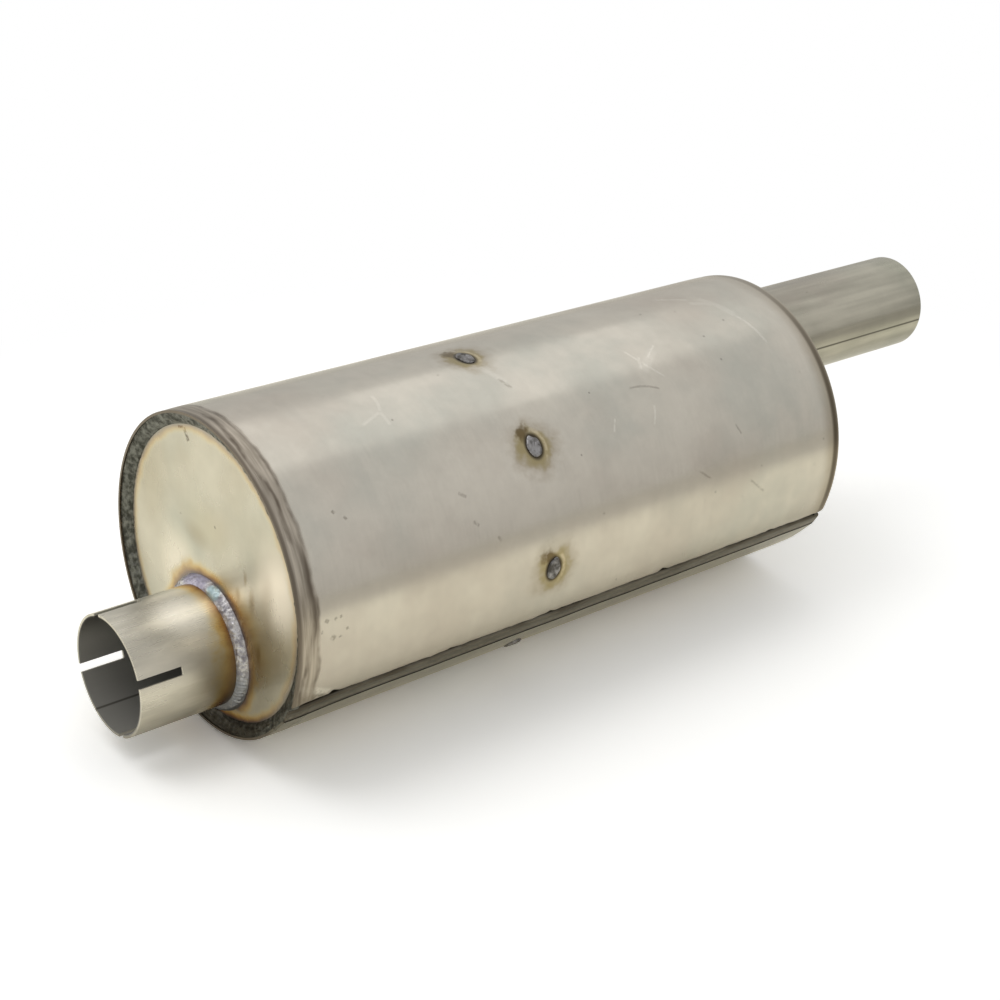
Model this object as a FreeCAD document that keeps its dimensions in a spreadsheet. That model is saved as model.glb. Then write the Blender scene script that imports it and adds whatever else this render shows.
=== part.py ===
import FreeCAD, Part
import math
import os
import Sketcher
from FreeCAD import Placement, Rotation, Vector

# A round welded muffler. X runs along the gas flow from the inlet mouth to the outlet, Z is up, and the
# origin is the centre of the inlet mouth. The inlet pipe sits low on its cap and the outlet pipe high, each
# a named margin clear of the body's wall. Angles round the body are read from the top towards -Y.
SIZES = [
    ("shell_diameter", 152.4, "outside of the rolled body"),
    ("shell_length", 337.0, "body, rim to rim"),
    ("shell_wall", 1.2, "sheet of the body"),
    ("seam_angle", 111.4, "degrees from the top to the folded edge of the lock seam"),
    ("lead_angle", 27.4, "degrees over which the sheet eases outwards before that edge"),
    ("seam_lift", 1.4, "how far the folded edge stands proud of the round"),
    ("hook_length", 6.5, "straight part of each folded hook"),
    ("layer_gap", 0.1, "air between the folded layers"),
    ("seam_opening", 1.0, "gap between the folded edge and the joggle"),
    ("joggle_radius", 0.6, "inside bend radius of the joggle"),
    ("strip_drop", 0.6, "how far the pressed strip lies below the folded edge"),
    ("strip_length", 6.6, "pressed strip, joggle to crease"),
    ("strip_lean", 4.0, "degrees between the folded edge and the middle of the strip"),
    ("crease_width", 0.8, "roller mark along the strip"),
    ("crease_depth", 0.4, "roller mark along the strip"),
    ("plug_station", 141.0, "plug welds, from the inlet rim"),
    ("plug_count", 8, "plug welds in the ring"),
    ("plug_width", 9.5, "plug hole along the body"),
    ("plug_length", 12.5, "plug hole round the body"),
    ("plug_head", 0.7, "weld metal standing above the sheet"),
    ("cap_wall", 1.5, "sheet of the end caps"),
    ("cap_flange", 14.0, "depth of the caps' turned edge"),
    ("cap_fit", 0.1, "air between a flange and the body"),
    ("relief_gap", 0.3, "air round the seam in each flange"),
    ("inlet_recess", 4.0, "inlet cap behind the rim"),
    ("inlet_bevel", 3.0, "shoulder of the inlet cap, at 45 degrees"),
    ("outlet_recess", 3.0, "outlet cap behind the rim"),
    ("outlet_bevel", 2.5, "shoulder of the outlet cap, at 45 degrees"),
    ("collar_bevel", 1.5, "shoulder of a pipe hole, at 45 degrees"),
    ("collar_length", 8.0, "depth of a pipe hole's collar"),
    ("pipe_fit", 0.1, "air between a pipe and its collar"),
    ("inlet_diameter", 57.2, "outside of the inlet pipe"),
    ("inlet_wall", 1.5, "inlet pipe"),
    ("inlet_reach", 47.5, "inlet mouth to the body's rim"),
    ("inlet_margin", 10.4, "inlet pipe clear of the body's inner wall"),
    ("slot_count", 4, "saw slots in the mouth"),
    ("slot_angle", 68.0, "degrees from the top to the first slot"),
    ("slot_width", 4.0, "saw slot"),
    ("slot_length", 21.5, "saw slot"),
    ("slot_corner", 0.8, "corner radius at a slot's end"),
    ("outlet_diameter", 50.8, "outside of the outlet pipe"),
    ("outlet_wall", 1.5, "outlet pipe"),
    ("outlet_reach", 117.0, "outlet end to the body's rim"),
    ("outlet_margin", 6.6, "outlet pipe clear of the body's inner wall"),
    ("pipe_inset", 20.0, "pipe inside the body, from the cap's face"),
    ("baffle_wall", 1.2, "sheet of the baffle"),
    ("baffle_bevel", 2.5, "shoulder of the baffle, at 45 degrees"),
    ("baffle_flange", 18.0, "depth of the baffle's turned edge"),
    ("tube_wall", 1.2, "louvred tubes"),
    ("tube_fit", 0.1, "air between a louvred tube and its pipe"),
    ("sizing_step", 0.3, "step in radius where a pipe's inner end is sized for its neighbour"),
    ("tube_overlap", 15.0, "louvred tube inside its pipe"),
    ("tube_past_baffle", 70.0, "open end of a louvred tube beyond the baffle"),
    ("louvre_length", 18.0, "louvre slot along a tube"),
    ("louvre_width", 3.0, "louvre slot round a tube"),
    ("louvre_pitch", 40.0, "louvre slots along a tube"),
    ("louvre_rows", 6, "louvre slots round a tube"),
    ("inlet_rim_leg", 6.0, "inlet rim weld across the cap"),
    ("outlet_rim_leg", 3.4, "outlet rim weld across the cap"),
    ("rim_shy", 0.8, "rim weld below the end of the body"),
    ("inlet_bead", 4.0, "leg of the inlet pipe weld"),
    ("outlet_bead", 3.0, "leg of the outlet pipe weld"),
    ("weld_root", 0.6, "depth of a weld behind the cap's face, as a share of the shoulder"),
]

doc = FreeCAD.newDocument("muffler")
sheet = doc.addObject("Spreadsheet::Sheet", "sizes")
for row, (alias, value, note) in enumerate(SIZES, start=1):
    sheet.set("A%d" % row, note)
    sheet.set("B%d" % row, str(value))
    sheet.setAlias("B%d" % row, alias)
doc.recompute()


def size(alias):
    """The value of one cell."""
    return float(sheet.get(alias))


def bind(target, prop, expression):
    """Tie a property to the sheet."""
    target.setExpression(prop, expression)


# Height of the body's axis over the inlet pipe, and of the outlet pipe over the body's axis.
inner_wall = "sizes.shell_diameter / 2 - sizes.shell_wall"
axis_height = "(%s - sizes.inlet_margin - sizes.inlet_diameter / 2)" % inner_wall
outlet_rise = "(%s - sizes.outlet_margin - sizes.outlet_diameter / 2)" % inner_wall


def new_body(label, x_expression="0", z_expression="0", turn=None):
    """An empty body, placed along X and Z by the sheet and turned by a fixed rotation."""
    body = doc.addObject("PartDesign::Body", label)
    body.Label = label
    if turn is not None:
        body.Placement = Placement(Vector(0, 0, 0), turn)
    bind(body, "Placement.Base.x", x_expression)
    bind(body, "Placement.Base.z", z_expression)
    return body


def new_sketch(body, role, name):
    """A sketch on one of the body's own origin planes."""
    sketch = body.newObject("Sketcher::SketchObject", name)
    plane = [item for item in body.Origin.OriginFeatures if item.Role == role][0]
    sketch.AttachmentSupport = (plane, [""])
    sketch.MapMode = "FlatFace"
    return sketch


def origin_axis(body, role):
    return [item for item in body.Origin.OriginFeatures if item.Role == role][0]


def add_circle(sketch, radius_expression):
    """A circle round the sketch's origin with its radius tied to the sheet."""
    radius = float(sketch.evalExpression(radius_expression))
    index = sketch.addGeometry(Part.Circle(Vector(0, 0, 0), Vector(0, 0, 1), radius))
    sketch.addConstraint(Sketcher.Constraint("Coincident", index, 3, -1, 1))
    number = sketch.addConstraint(Sketcher.Constraint("Radius", index, radius))
    sketch.setExpression("Constraints[%d]" % number, radius_expression)


def line(start, end):
    return Part.LineSegment(start, end)


def arc(start, middle, end):
    return Part.Arc(start, middle, end)


def polygon(points):
    """A closed outline of straight edges."""
    corners = [Vector(x, y, 0) for x, y in points]
    return [line(a, b) for a, b in zip(corners, corners[1:] + corners[:1])]


def corner_arc(centre, radius, start_degrees, end_degrees):
    """A circular edge, angles measured from the sketch's own x axis."""
    def at(degrees):
        angle = math.radians(degrees)
        return centre + Vector(radius * math.cos(angle), radius * math.sin(angle), 0)
    return arc(at(start_degrees), at((start_degrees + end_degrees) / 2), at(end_degrees))


def add_revolution(body, sketch, axis, name):
    turned = body.newObject("PartDesign::Revolution", name)
    turned.Profile = sketch
    turned.ReferenceAxis = (sketch, [axis])
    turned.Angle = 360
    return turned


# The lock seam. In the section across the body the sheet leaves the round along a flatter lead arc and
# ends in a fold. Four layers lie over each other there, all round the centre of the lead arc: the outer
# sheet, the hook of the far edge, the hook of the near edge, and the far edge's sheet passing under. The
# far sheet then steps up through a joggle to a pressed strip, a rolled crease and a flat that runs
# tangentially back into the round.
outer_radius = size("shell_diameter") / 2
wall = size("shell_wall")
inner_radius = outer_radius - wall
gap = size("layer_gap")
round_centre = Vector(0, 0, 0)


def outward(degrees, side=1):
    """Unit vector across the body, from the top towards -Y, or towards +Y for side -1."""
    angle = math.radians(degrees)
    return Vector(-side * math.sin(angle), math.cos(angle), 0)


def round_arc(centre, radius, start_degrees, end_degrees, side=1):
    middle = (start_degrees + end_degrees) / 2
    return arc(
        centre + outward(start_degrees, side) * radius,
        centre + outward(middle, side) * radius,
        centre + outward(end_degrees, side) * radius,
    )


lead_start = size("seam_angle") - size("lead_angle")
proud_radius = outer_radius + size("seam_lift")
lead_cosine = math.cos(math.radians(size("lead_angle")))
lead_radius = (
    (2 * proud_radius * outer_radius * lead_cosine - proud_radius**2 - outer_radius**2)
    / (2 * (proud_radius * lead_cosine - outer_radius))
)
fold_radius = 1.5 * wall + gap
bend_inner = size("joggle_radius")
bend_outer = bend_inner + wall
seam_depth = 4 * wall + 3 * gap
mitre_share = math.tan(math.radians(22.5))
lead_offset = outer_radius - lead_radius
edge_point = outward(size("seam_angle")) * proud_radius - outward(lead_start) * lead_offset
edge_degrees = math.degrees(math.atan2(-edge_point.x, edge_point.y))
fold_degrees = edge_degrees - math.degrees(fold_radius / lead_radius)
hook_degrees = fold_degrees - math.degrees(size("hook_length") / lead_radius)
joggle_shift = fold_radius + size("seam_opening") - bend_inner
joggle_degrees = fold_degrees + math.degrees(joggle_shift / lead_radius)
joggle_rise = 3 * wall + 3 * gap - bend_inner - bend_outer - size("strip_drop")
hook_fold_radius = lead_radius - 2.5 * wall - 2 * gap
seam_start_degrees = hook_degrees - math.degrees(math.asin(fold_radius / hook_fold_radius))


def line_crossing(normal_a, reach_a, normal_b, reach_b):
    """Where two straight faces meet, each given by its normal and its distance from the body's axis."""
    determinant = normal_a.x * normal_b.y - normal_a.y * normal_b.x
    x = (reach_a * normal_b.y - reach_b * normal_a.y) / determinant
    y = (normal_a.x * reach_b - normal_b.x * reach_a) / determinant
    return Vector(x, y, 0)


class SeamSection:
    """Points of the seam in the section, mirrored across Z for side -1."""

    def __init__(self, side=1):
        self.side = side
        self.lead_centre = outward(lead_start, side) * lead_offset
        across = outward(joggle_degrees + 90, side)
        radial = outward(joggle_degrees, side)
        lower_radius = lead_radius - 3 * wall - 3 * gap + bend_inner
        self.lower_bend = self.lead_centre + radial * lower_radius
        self.upper_bend = self.lower_bend + across * (bend_inner + bend_outer) + radial * joggle_rise
        self.across = across
        self.radial = radial
        self.strip_normal = outward(size("seam_angle") + size("strip_lean"), side)
        strip_along = outward(size("seam_angle") + size("strip_lean") + 90, side)
        self.strip_start = self.upper_bend + self.strip_normal * bend_outer
        self.crease = self.strip_start + strip_along * size("strip_length")
        crease_degrees = math.degrees(math.atan2(-side * self.crease.x, self.crease.y))
        flat_degrees = math.degrees(math.acos(outer_radius / self.crease.Length))
        self.tangent_degrees = crease_degrees + flat_degrees
        self.flat_normal = outward(self.tangent_degrees, side)
        self.flat_along = outward(self.tangent_degrees + 90, side)
        self.strip_along = strip_along
        self.inner_crease = line_crossing(
            self.strip_normal,
            self.strip_normal.dot(self.crease) - wall,
            self.flat_normal,
            inner_radius,
        )

    def layer(self, radius, start_degrees, end_degrees):
        return round_arc(self.lead_centre, radius, start_degrees, end_degrees, self.side)

    def fold(self, depth, degrees, radius, turn):
        """Half circle of a fold; turn is +1 where it bulges away from the hooks, -1 towards them."""
        centre = self.lead_centre + outward(degrees, self.side) * (lead_radius - depth)
        up = outward(degrees, self.side) * radius
        out = outward(degrees + 90, self.side) * radius * turn
        return arc(centre + up, centre + out, centre - up)

    def bend(self, centre, radius, start, end):
        middle = (start + end)
        middle.normalize()
        return arc(centre + start * radius, centre + middle * radius, centre + end * radius)

    def long_way(self, radius):
        """The round itself, from the lead back over the top and the far side to the flat."""
        return round_arc(round_centre, radius, lead_start, self.tangent_degrees - 360, self.side)

    def outline(self):
        """Every edge of the folded sheet's section."""
        second_hook = 1.5 * wall + gap
        third_layer = 2.5 * wall + 2 * gap
        tight = 0.5 * wall + gap
        tangent_point = self.flat_normal * outer_radius
        inner_tangent = self.flat_normal * inner_radius
        wall_left = self.lower_bend + self.across * bend_inner
        wall_right = self.lower_bend + self.across * bend_outer
        crease_left = self.crease - self.strip_along * (size("crease_width") / 2)
        crease_right = self.crease + self.flat_along * (size("crease_width") / 2)
        crease_normal = self.strip_normal + self.flat_normal
        crease_normal.normalize()
        crease_bottom = self.crease - crease_normal * size("crease_depth")
        down = -self.radial
        back = -self.across
        near_hook = [
            line(
                self.lead_centre + outward(hook_degrees, self.side) * (lead_radius - 3 * wall - 2 * gap),
                self.lead_centre + outward(hook_degrees, self.side) * (lead_radius - 2 * wall - 2 * gap),
            ),
            self.layer(lead_radius - 2 * wall - 2 * gap, hook_degrees, fold_degrees),
            self.fold(second_hook, fold_degrees, tight, 1),
            self.layer(lead_radius - wall, fold_degrees, lead_start),
            self.long_way(inner_radius),
            line(inner_tangent, self.inner_crease),
            line(self.inner_crease, self.upper_bend + self.strip_normal * bend_inner),
            self.bend(self.upper_bend, bend_inner, self.strip_normal, back),
            line(self.upper_bend + back * bend_inner, wall_right),
            self.bend(self.lower_bend, bend_outer, self.across, down),
            self.layer(lead_radius - seam_depth, joggle_degrees, hook_degrees),
            self.fold(third_layer, hook_degrees, fold_radius, -1),
        ]
        far_hook = [
            self.layer(lead_radius - wall - gap, hook_degrees, fold_degrees),
            line(
                self.lead_centre + outward(fold_degrees, self.side) * (lead_radius - wall - gap),
                self.lead_centre + outward(fold_degrees, self.side) * (lead_radius - 2 * wall - gap),
            ),
            self.layer(lead_radius - 2 * wall - gap, fold_degrees, hook_degrees),
            self.fold(third_layer, hook_degrees, tight, -1),
            self.layer(lead_radius - 3 * wall - 3 * gap, hook_degrees, joggle_degrees),
            self.bend(self.lower_bend, bend_inner, down, self.across),
            line(wall_left, self.upper_bend + back * bend_outer),
            self.bend(self.upper_bend, bend_outer, back, self.strip_normal),
            line(self.strip_start, crease_left),
            line(crease_left, crease_bottom),
            line(crease_bottom, crease_right),
            line(crease_right, tangent_point),
            self.long_way(outer_radius),
            self.layer(lead_radius, lead_start, fold_degrees),
            self.fold(second_hook, fold_degrees, fold_radius, 1),
            self.layer(lead_radius - 3 * wall - 2 * gap, fold_degrees, hook_degrees),
        ]
        return near_hook + far_hook

    def relief(self, clearance):
        """The notch that the seam's layers need in a flange or a weld."""
        spare = math.degrees(clearance / lead_radius)
        start = seam_start_degrees - spare
        end = joggle_degrees + math.degrees(bend_outer / (lead_radius - seam_depth)) + spare
        low = lead_radius - seam_depth - clearance
        high = lead_radius + fold_radius
        start_low = self.lead_centre + outward(start, self.side) * low
        start_high = self.lead_centre + outward(start, self.side) * high
        end_low = self.lead_centre + outward(end, self.side) * low
        end_high = self.lead_centre + outward(end, self.side) * high
        return [
            line(start_low, start_high),
            self.layer(high, start, end),
            line(end_high, end_low),
            self.layer(low, end, start),
        ]

    def bore(self):
        """The free inside of the body, lead, strip and flat included, with the seam's notch left out."""
        start = seam_start_degrees
        low = lead_radius - seam_depth
        wall_right = self.lower_bend + self.across * bend_outer
        corner_along = outward(joggle_degrees, self.side)
        foot_reach = (wall_right - self.lead_centre).dot(corner_along)
        wall_foot = wall_right - corner_along * (foot_reach - low)
        return [
            self.long_way(inner_radius),
            line(self.flat_normal * inner_radius, self.inner_crease),
            line(self.inner_crease, self.upper_bend + self.strip_normal * bend_inner),
            self.bend(self.upper_bend, bend_inner, self.strip_normal, -self.across),
            line(self.upper_bend - self.across * bend_inner, wall_foot),
            line(wall_foot, self.lead_centre + outward(joggle_degrees, self.side) * low),
            self.layer(low, joggle_degrees, start),
            line(
                self.lead_centre + outward(start, self.side) * low,
                self.lead_centre + outward(start, self.side) * (lead_radius - wall),
            ),
            self.layer(lead_radius - wall, start, lead_start),
        ]


def oval_hole(body, name):
    """Outline of a plug hole over the top of the body, longer round the body than along it."""
    sketch = new_sketch(body, "XY_Plane", name)
    half_width = size("plug_width") / 2
    straight = (size("plug_length") - size("plug_width")) / 2
    station = size("plug_station")
    sketch.addGeometry([
        line(Vector(station - half_width, -straight, 0), Vector(station - half_width, straight, 0)),
        corner_arc(Vector(station, straight, 0), half_width, 180, 0),
        line(Vector(station + half_width, straight, 0), Vector(station + half_width, -straight, 0)),
        corner_arc(Vector(station, -straight, 0), half_width, 0, -180),
    ], False)
    return sketch


def cut_upwards(body, sketch, name):
    """Cut from the sketch's plane to one side, through whatever lies there."""
    pocket = body.newObject("PartDesign::Pocket", name)
    pocket.Profile = sketch
    pocket.Type = "ThroughAll"
    pocket.Reversed = True
    return pocket


def cut_both_ways(body, sketch, name):
    """Cut to both sides of the sketch's plane, through the whole body."""
    pocket = body.newObject("PartDesign::Pocket", name)
    pocket.Profile = sketch
    pocket.Type = "ThroughAll"
    pocket.Midplane = True
    return pocket


def repeat_round(body, feature, name, count_expression):
    """Repeat a cut evenly round the body's own X axis."""
    pattern = body.newObject("PartDesign::PolarPattern", name)
    pattern.Originals = [feature]
    pattern.Axis = (origin_axis(body, "X_Axis"), [""])
    pattern.Angle = 360
    bind(pattern, "Occurrences", count_expression)
    body.Tip = pattern
    return pattern


def make_shell():
    """The rolled body: the folded section drawn out to length, then the punched ring of holes."""
    body = new_body("shell", "sizes.inlet_reach", axis_height)
    section = new_sketch(body, "YZ_Plane", "shell_section")
    section.addGeometry(SeamSection().outline(), False)
    sheet_pad = body.newObject("PartDesign::Pad", "shell_pad")
    sheet_pad.Profile = section
    bind(sheet_pad, "Length", "sizes.shell_length")
    holes = cut_upwards(body, oval_hole(body, "plug_hole"), "plug_hole_cut")
    repeat_round(body, holes, "plug_holes", "sizes.plug_count")
    return body


def make_plug_weld(index):
    """One nugget: it fills a hole of the shell, from the baffle's flange to a low head."""
    turn = Rotation(Vector(1, 0, 0), index * 360 / size("plug_count"))
    label = "plug_weld_%d" % (index + 1)
    body = new_body(label, "sizes.inlet_reach", axis_height, turn)
    outline = oval_hole(body, label + "_outline")
    bind(outline, "AttachmentOffset.Base.z", "sizes.shell_diameter / 2 - sizes.shell_wall - sizes.cap_fit")
    pad = body.newObject("PartDesign::Pad", label + "_pad")
    pad.Profile = outline
    bind(pad, "Length", "sizes.shell_wall + sizes.cap_fit + sizes.plug_head")
    return body


def make_dish(label, sheet_wall, bevel, flange, x_expression, holes, side):
    """A pressed disc in its own frame: outer face at x = 0, edge turned towards +x, collared pipe holes.

    holes lists each pipe hole as its height over the body's axis and the pipe's outside radius.
    Side -1 turns the dish round, so that it closes the far end of the body.
    """
    turn = None if side == 1 else Rotation(Vector(0, 0, 1), 180)
    body = new_body(label, x_expression, axis_height, turn)
    edge = inner_radius - size("cap_fit")
    mitre = sheet_wall * mitre_share
    dish = new_sketch(body, "XZ_Plane", label + "_profile")
    dish.addGeometry(polygon([
        (0, 0),
        (0, edge - bevel),
        (bevel, edge),
        (flange, edge),
        (flange, edge - sheet_wall),
        (bevel + mitre, edge - sheet_wall),
        (sheet_wall, edge - bevel - mitre),
        (sheet_wall, 0),
    ]), False)
    add_revolution(body, dish, "H_Axis", label + "_dish")
    shoulder = size("collar_bevel")
    collar_end = size("collar_length")
    for number, (height, pipe_radius) in enumerate(holes, start=1):
        bore = pipe_radius + size("pipe_fit")
        root = bore + shoulder + mitre
        hole = new_sketch(body, "YZ_Plane", "%s_hole_%d" % (label, number))
        hole.addGeometry(Part.Circle(Vector(0, height, 0), Vector(0, 0, 1), root), False)
        cut_both_ways(body, hole, "%s_opening_%d" % (label, number))
        collar = new_sketch(body, "XZ_Plane", "%s_collar_%d" % (label, number))
        collar.addGeometry(polygon([
            (0, height + bore + shoulder),
            (0, height + root),
            (sheet_wall, height + root),
            (shoulder + mitre, height + bore + sheet_wall),
            (collar_end, height + bore + sheet_wall),
            (collar_end, height + bore),
            (shoulder, height + bore),
        ]), False)
        collar.addGeometry(line(Vector(0, height, 0), Vector(collar_end, height, 0)), True)
        add_revolution(body, collar, "Axis0", "%s_collar_ring_%d" % (label, number))
    relief = new_sketch(body, "YZ_Plane", label + "_relief")
    relief.addGeometry(SeamSection(side).relief(size("relief_gap")), False)
    cut_both_ways(body, relief, label + "_seam_notch")
    return body


def make_pipe(label, outer, inner, length, x_expression, z_expression, turn=None):
    """A plain tube along X, all sizes as expressions of the sheet."""
    body = new_body(label, x_expression, z_expression, turn)
    ring = new_sketch(body, "YZ_Plane", label + "_ring")
    add_circle(ring, outer)
    add_circle(ring, inner)
    pad = body.newObject("PartDesign::Pad", label + "_pad")
    pad.Profile = ring
    bind(pad, "Length", length)
    return body


def make_inlet_pipe():
    """The socket: its sawn mouth closes round the pipe inside it when a clamp is tightened."""
    body = make_pipe(
        "inlet_pipe",
        "sizes.inlet_diameter / 2",
        "sizes.inlet_diameter / 2 - sizes.inlet_wall",
        "sizes.inlet_reach + sizes.inlet_recess + sizes.pipe_inset",
        "0",
        "0",
        Rotation(Vector(1, 0, 0), size("slot_angle")),
    )
    seat = new_sketch(body, "YZ_Plane", "tube_seat_ring")
    bind(
        seat,
        "AttachmentOffset.Base.z",
        "sizes.inlet_reach + sizes.inlet_recess + sizes.pipe_inset - sizes.tube_overlap",
    )
    add_circle(seat, "sizes.inlet_diameter / 2 - sizes.inlet_wall + sizes.sizing_step")
    cut_upwards(body, seat, "tube_seat")
    half = size("slot_width") / 2
    corner = size("slot_corner")
    end = size("slot_length")
    slot = new_sketch(body, "XY_Plane", "slot_outline")
    slot.addGeometry([
        line(Vector(end - corner, -half, 0), Vector(-half, -half, 0)),
        line(Vector(-half, -half, 0), Vector(-half, half, 0)),
        line(Vector(-half, half, 0), Vector(end - corner, half, 0)),
        corner_arc(Vector(end - corner, half - corner, 0), corner, 90, 0),
        line(Vector(end, half - corner, 0), Vector(end, corner - half, 0)),
        corner_arc(Vector(end - corner, corner - half, 0), corner, 0, -90),
    ], False)
    saw_cut = cut_upwards(body, slot, "slot_cut")
    repeat_round(body, saw_cut, "slots", "sizes.slot_count")
    return body


def make_outlet_pipe(x_expression, z_expression):
    """The plain tail end. Inside the body and under its weld it is sized down to enter the cap."""
    body = make_pipe(
        "outlet_pipe",
        "sizes.outlet_diameter / 2",
        "sizes.outlet_diameter / 2 - sizes.outlet_wall",
        "sizes.outlet_reach + sizes.outlet_recess + sizes.pipe_inset",
        x_expression,
        z_expression,
    )
    ring = new_sketch(body, "YZ_Plane", "sized_end_ring")
    add_circle(ring, "sizes.outlet_diameter")
    add_circle(ring, "sizes.outlet_diameter / 2 - sizes.sizing_step")
    sized_end = body.newObject("PartDesign::Pocket", "sized_end")
    sized_end.Profile = ring
    sized_end.Reversed = True
    bind(sized_end, "Length", "sizes.pipe_inset + sizes.outlet_bead")
    return body


def make_inner_tube(label, pipe_inner, length, x_expression, z_expression):
    """A louvred tube that slides into its pipe; every second ring of slots is set half a pitch on."""
    body = make_pipe(
        label,
        pipe_inner + " - sizes.tube_fit",
        pipe_inner + " - sizes.tube_fit - sizes.tube_wall",
        length,
        x_expression,
        z_expression,
    )
    doc.recompute()
    span = body.Shape.BoundBox.XLength
    pitch = size("louvre_pitch")
    count = int((span - 2 * size("tube_overlap") - pitch) / pitch)
    first = (span - (count - 1) * pitch) / 2
    half_length = size("louvre_length") / 2
    half_width = size("louvre_width") / 2
    for plane, name, shift, number in (
        ("XY_Plane", "even", 0.0, count),
        ("XZ_Plane", "odd", 0.5, count - 1),
    ):
        row = new_sketch(body, plane, "%s_%s_row" % (label, name))
        for index in range(number):
            station = first + (index + shift) * pitch
            row.addGeometry(polygon([
                (station - half_length, -half_width),
                (station + half_length, -half_width),
                (station + half_length, half_width),
                (station - half_length, half_width),
            ]), False)
        punched = cut_upwards(body, row, "%s_%s_punch" % (label, name))
        repeat_round(body, punched, "%s_%s_slots" % (label, name), "sizes.louvre_rows")
    return body


def make_rim_weld(label, recess, bevel, leg, x_expression, side):
    """The bead in the corner between a cap and the body, cut to the body's real inside."""
    edge = inner_radius - size("cap_fit")
    beyond = inner_radius + 2 * size("seam_lift") + wall
    top = size("rim_shy") - recess
    root = bevel * size("weld_root")
    turn = None if side == 1 else Rotation(Vector(0, 0, 1), 180)
    ring = new_body(label + "_ring", x_expression, axis_height, turn)
    profile = new_sketch(ring, "XZ_Plane", label + "_profile")
    profile.addGeometry(polygon([
        (0, inner_radius - leg),
        (top, inner_radius),
        (top, beyond),
        (root, beyond),
        (root, edge - bevel + root),
        (0, edge - bevel),
    ]), False)
    add_revolution(ring, profile, "H_Axis", label + "_turned")
    inside = new_body(label + "_inside", x_expression, axis_height, turn)
    section = new_sketch(inside, "YZ_Plane", label + "_section")
    section.addGeometry(SeamSection(side).bore(), False)
    prism = inside.newObject("PartDesign::Pad", label + "_prism")
    prism.Profile = section
    prism.Midplane = True
    bind(prism, "Length", "sizes.cap_flange * 2")
    bead = doc.addObject("Part::Common", label)
    bead.Label = label
    bead.Base = ring
    bead.Tool = inside
    return bead


def make_pipe_weld(label, pipe_radius, step, leg, x_expression, z_expression, turn):
    """The bead round a pipe, seated on the pipe, the cap's face and the shoulder of its collar.

    step is how much thinner in radius the pipe is under the bead.
    """
    body = new_body(label, x_expression, z_expression, turn)
    seat = pipe_radius - step
    shoulder = size("collar_bevel")
    mouth = seat + size("pipe_fit") + shoulder
    root = shoulder * size("weld_root")
    corners = [
        (-leg, pipe_radius),
        (0, pipe_radius + leg),
        (0, mouth),
        (root, mouth - root),
        (root, seat),
    ]
    if step > 0:
        corners.append((-leg, seat))
    profile = new_sketch(body, "XZ_Plane", label + "_profile")
    profile.addGeometry(polygon(corners), False)
    add_revolution(body, profile, "H_Axis", label + "_turned")
    return body


parts = [make_shell()]

inlet_face = "sizes.inlet_reach + sizes.inlet_recess"
outlet_face = "sizes.inlet_reach + sizes.shell_length - sizes.outlet_recess"
outlet_height = "%s + %s" % (axis_height, outlet_rise)
inlet_radius = size("inlet_diameter") / 2
outlet_radius = size("outlet_diameter") / 2
sizing_step = size("sizing_step")
inlet_tube_radius = inlet_radius - size("inlet_wall") + sizing_step - size("tube_fit")
outlet_tube_radius = outlet_radius - size("outlet_wall") - size("tube_fit")
inlet_hole = inlet_radius + size("inlet_margin") - inner_radius
outlet_hole = inner_radius - size("outlet_margin") - outlet_radius

parts.append(make_dish(
    "inlet_end_cap",
    size("cap_wall"),
    size("inlet_bevel"),
    size("cap_flange"),
    inlet_face,
    [(inlet_hole, inlet_radius)],
    1,
))
parts.append(make_dish(
    "outlet_end_cap",
    size("cap_wall"),
    size("outlet_bevel"),
    size("cap_flange"),
    outlet_face,
    [(outlet_hole, outlet_radius - sizing_step)],
    -1,
))
baffle_face = "sizes.inlet_reach + sizes.plug_station - (sizes.baffle_flange + sizes.baffle_bevel) / 2"
parts.append(make_dish(
    "baffle_plate",
    size("baffle_wall"),
    size("baffle_bevel"),
    size("baffle_flange"),
    baffle_face,
    [(inlet_hole, inlet_tube_radius), (outlet_hole, outlet_tube_radius)],
    1,
))
parts.append(make_inlet_pipe())
parts.append(make_outlet_pipe(outlet_face + " - sizes.pipe_inset", outlet_height))
inlet_tube_start = inlet_face + " + sizes.pipe_inset - sizes.tube_overlap"
parts.append(make_inner_tube(
    "inlet_inner_tube",
    "sizes.inlet_diameter / 2 - sizes.inlet_wall + sizes.sizing_step",
    "%s + sizes.tube_past_baffle - (%s)" % (baffle_face, inlet_tube_start),
    inlet_tube_start,
    "0",
))
outlet_tube_start = "%s - sizes.tube_past_baffle" % baffle_face
parts.append(make_inner_tube(
    "outlet_inner_tube",
    "sizes.outlet_diameter / 2 - sizes.outlet_wall",
    "%s - sizes.pipe_inset + sizes.tube_overlap - (%s)" % (outlet_face, outlet_tube_start),
    outlet_tube_start,
    outlet_height,
))
parts.append(make_rim_weld(
    "inlet_rim_weld",
    size("inlet_recess"),
    size("inlet_bevel"),
    size("inlet_rim_leg"),
    inlet_face,
    1,
))
parts.append(make_rim_weld(
    "outlet_rim_weld",
    size("outlet_recess"),
    size("outlet_bevel"),
    size("outlet_rim_leg"),
    outlet_face,
    -1,
))
parts.append(make_pipe_weld(
    "inlet_pipe_weld",
    inlet_radius,
    0,
    size("inlet_bead"),
    inlet_face,
    "0",
    None,
))
parts.append(make_pipe_weld(
    "outlet_pipe_weld",
    outlet_radius,
    sizing_step,
    size("outlet_bead"),
    outlet_face,
    outlet_height,
    Rotation(Vector(0, 0, 1), 180),
))
for plug_index in range(int(size("plug_count"))):
    parts.append(make_plug_weld(plug_index))

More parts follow.
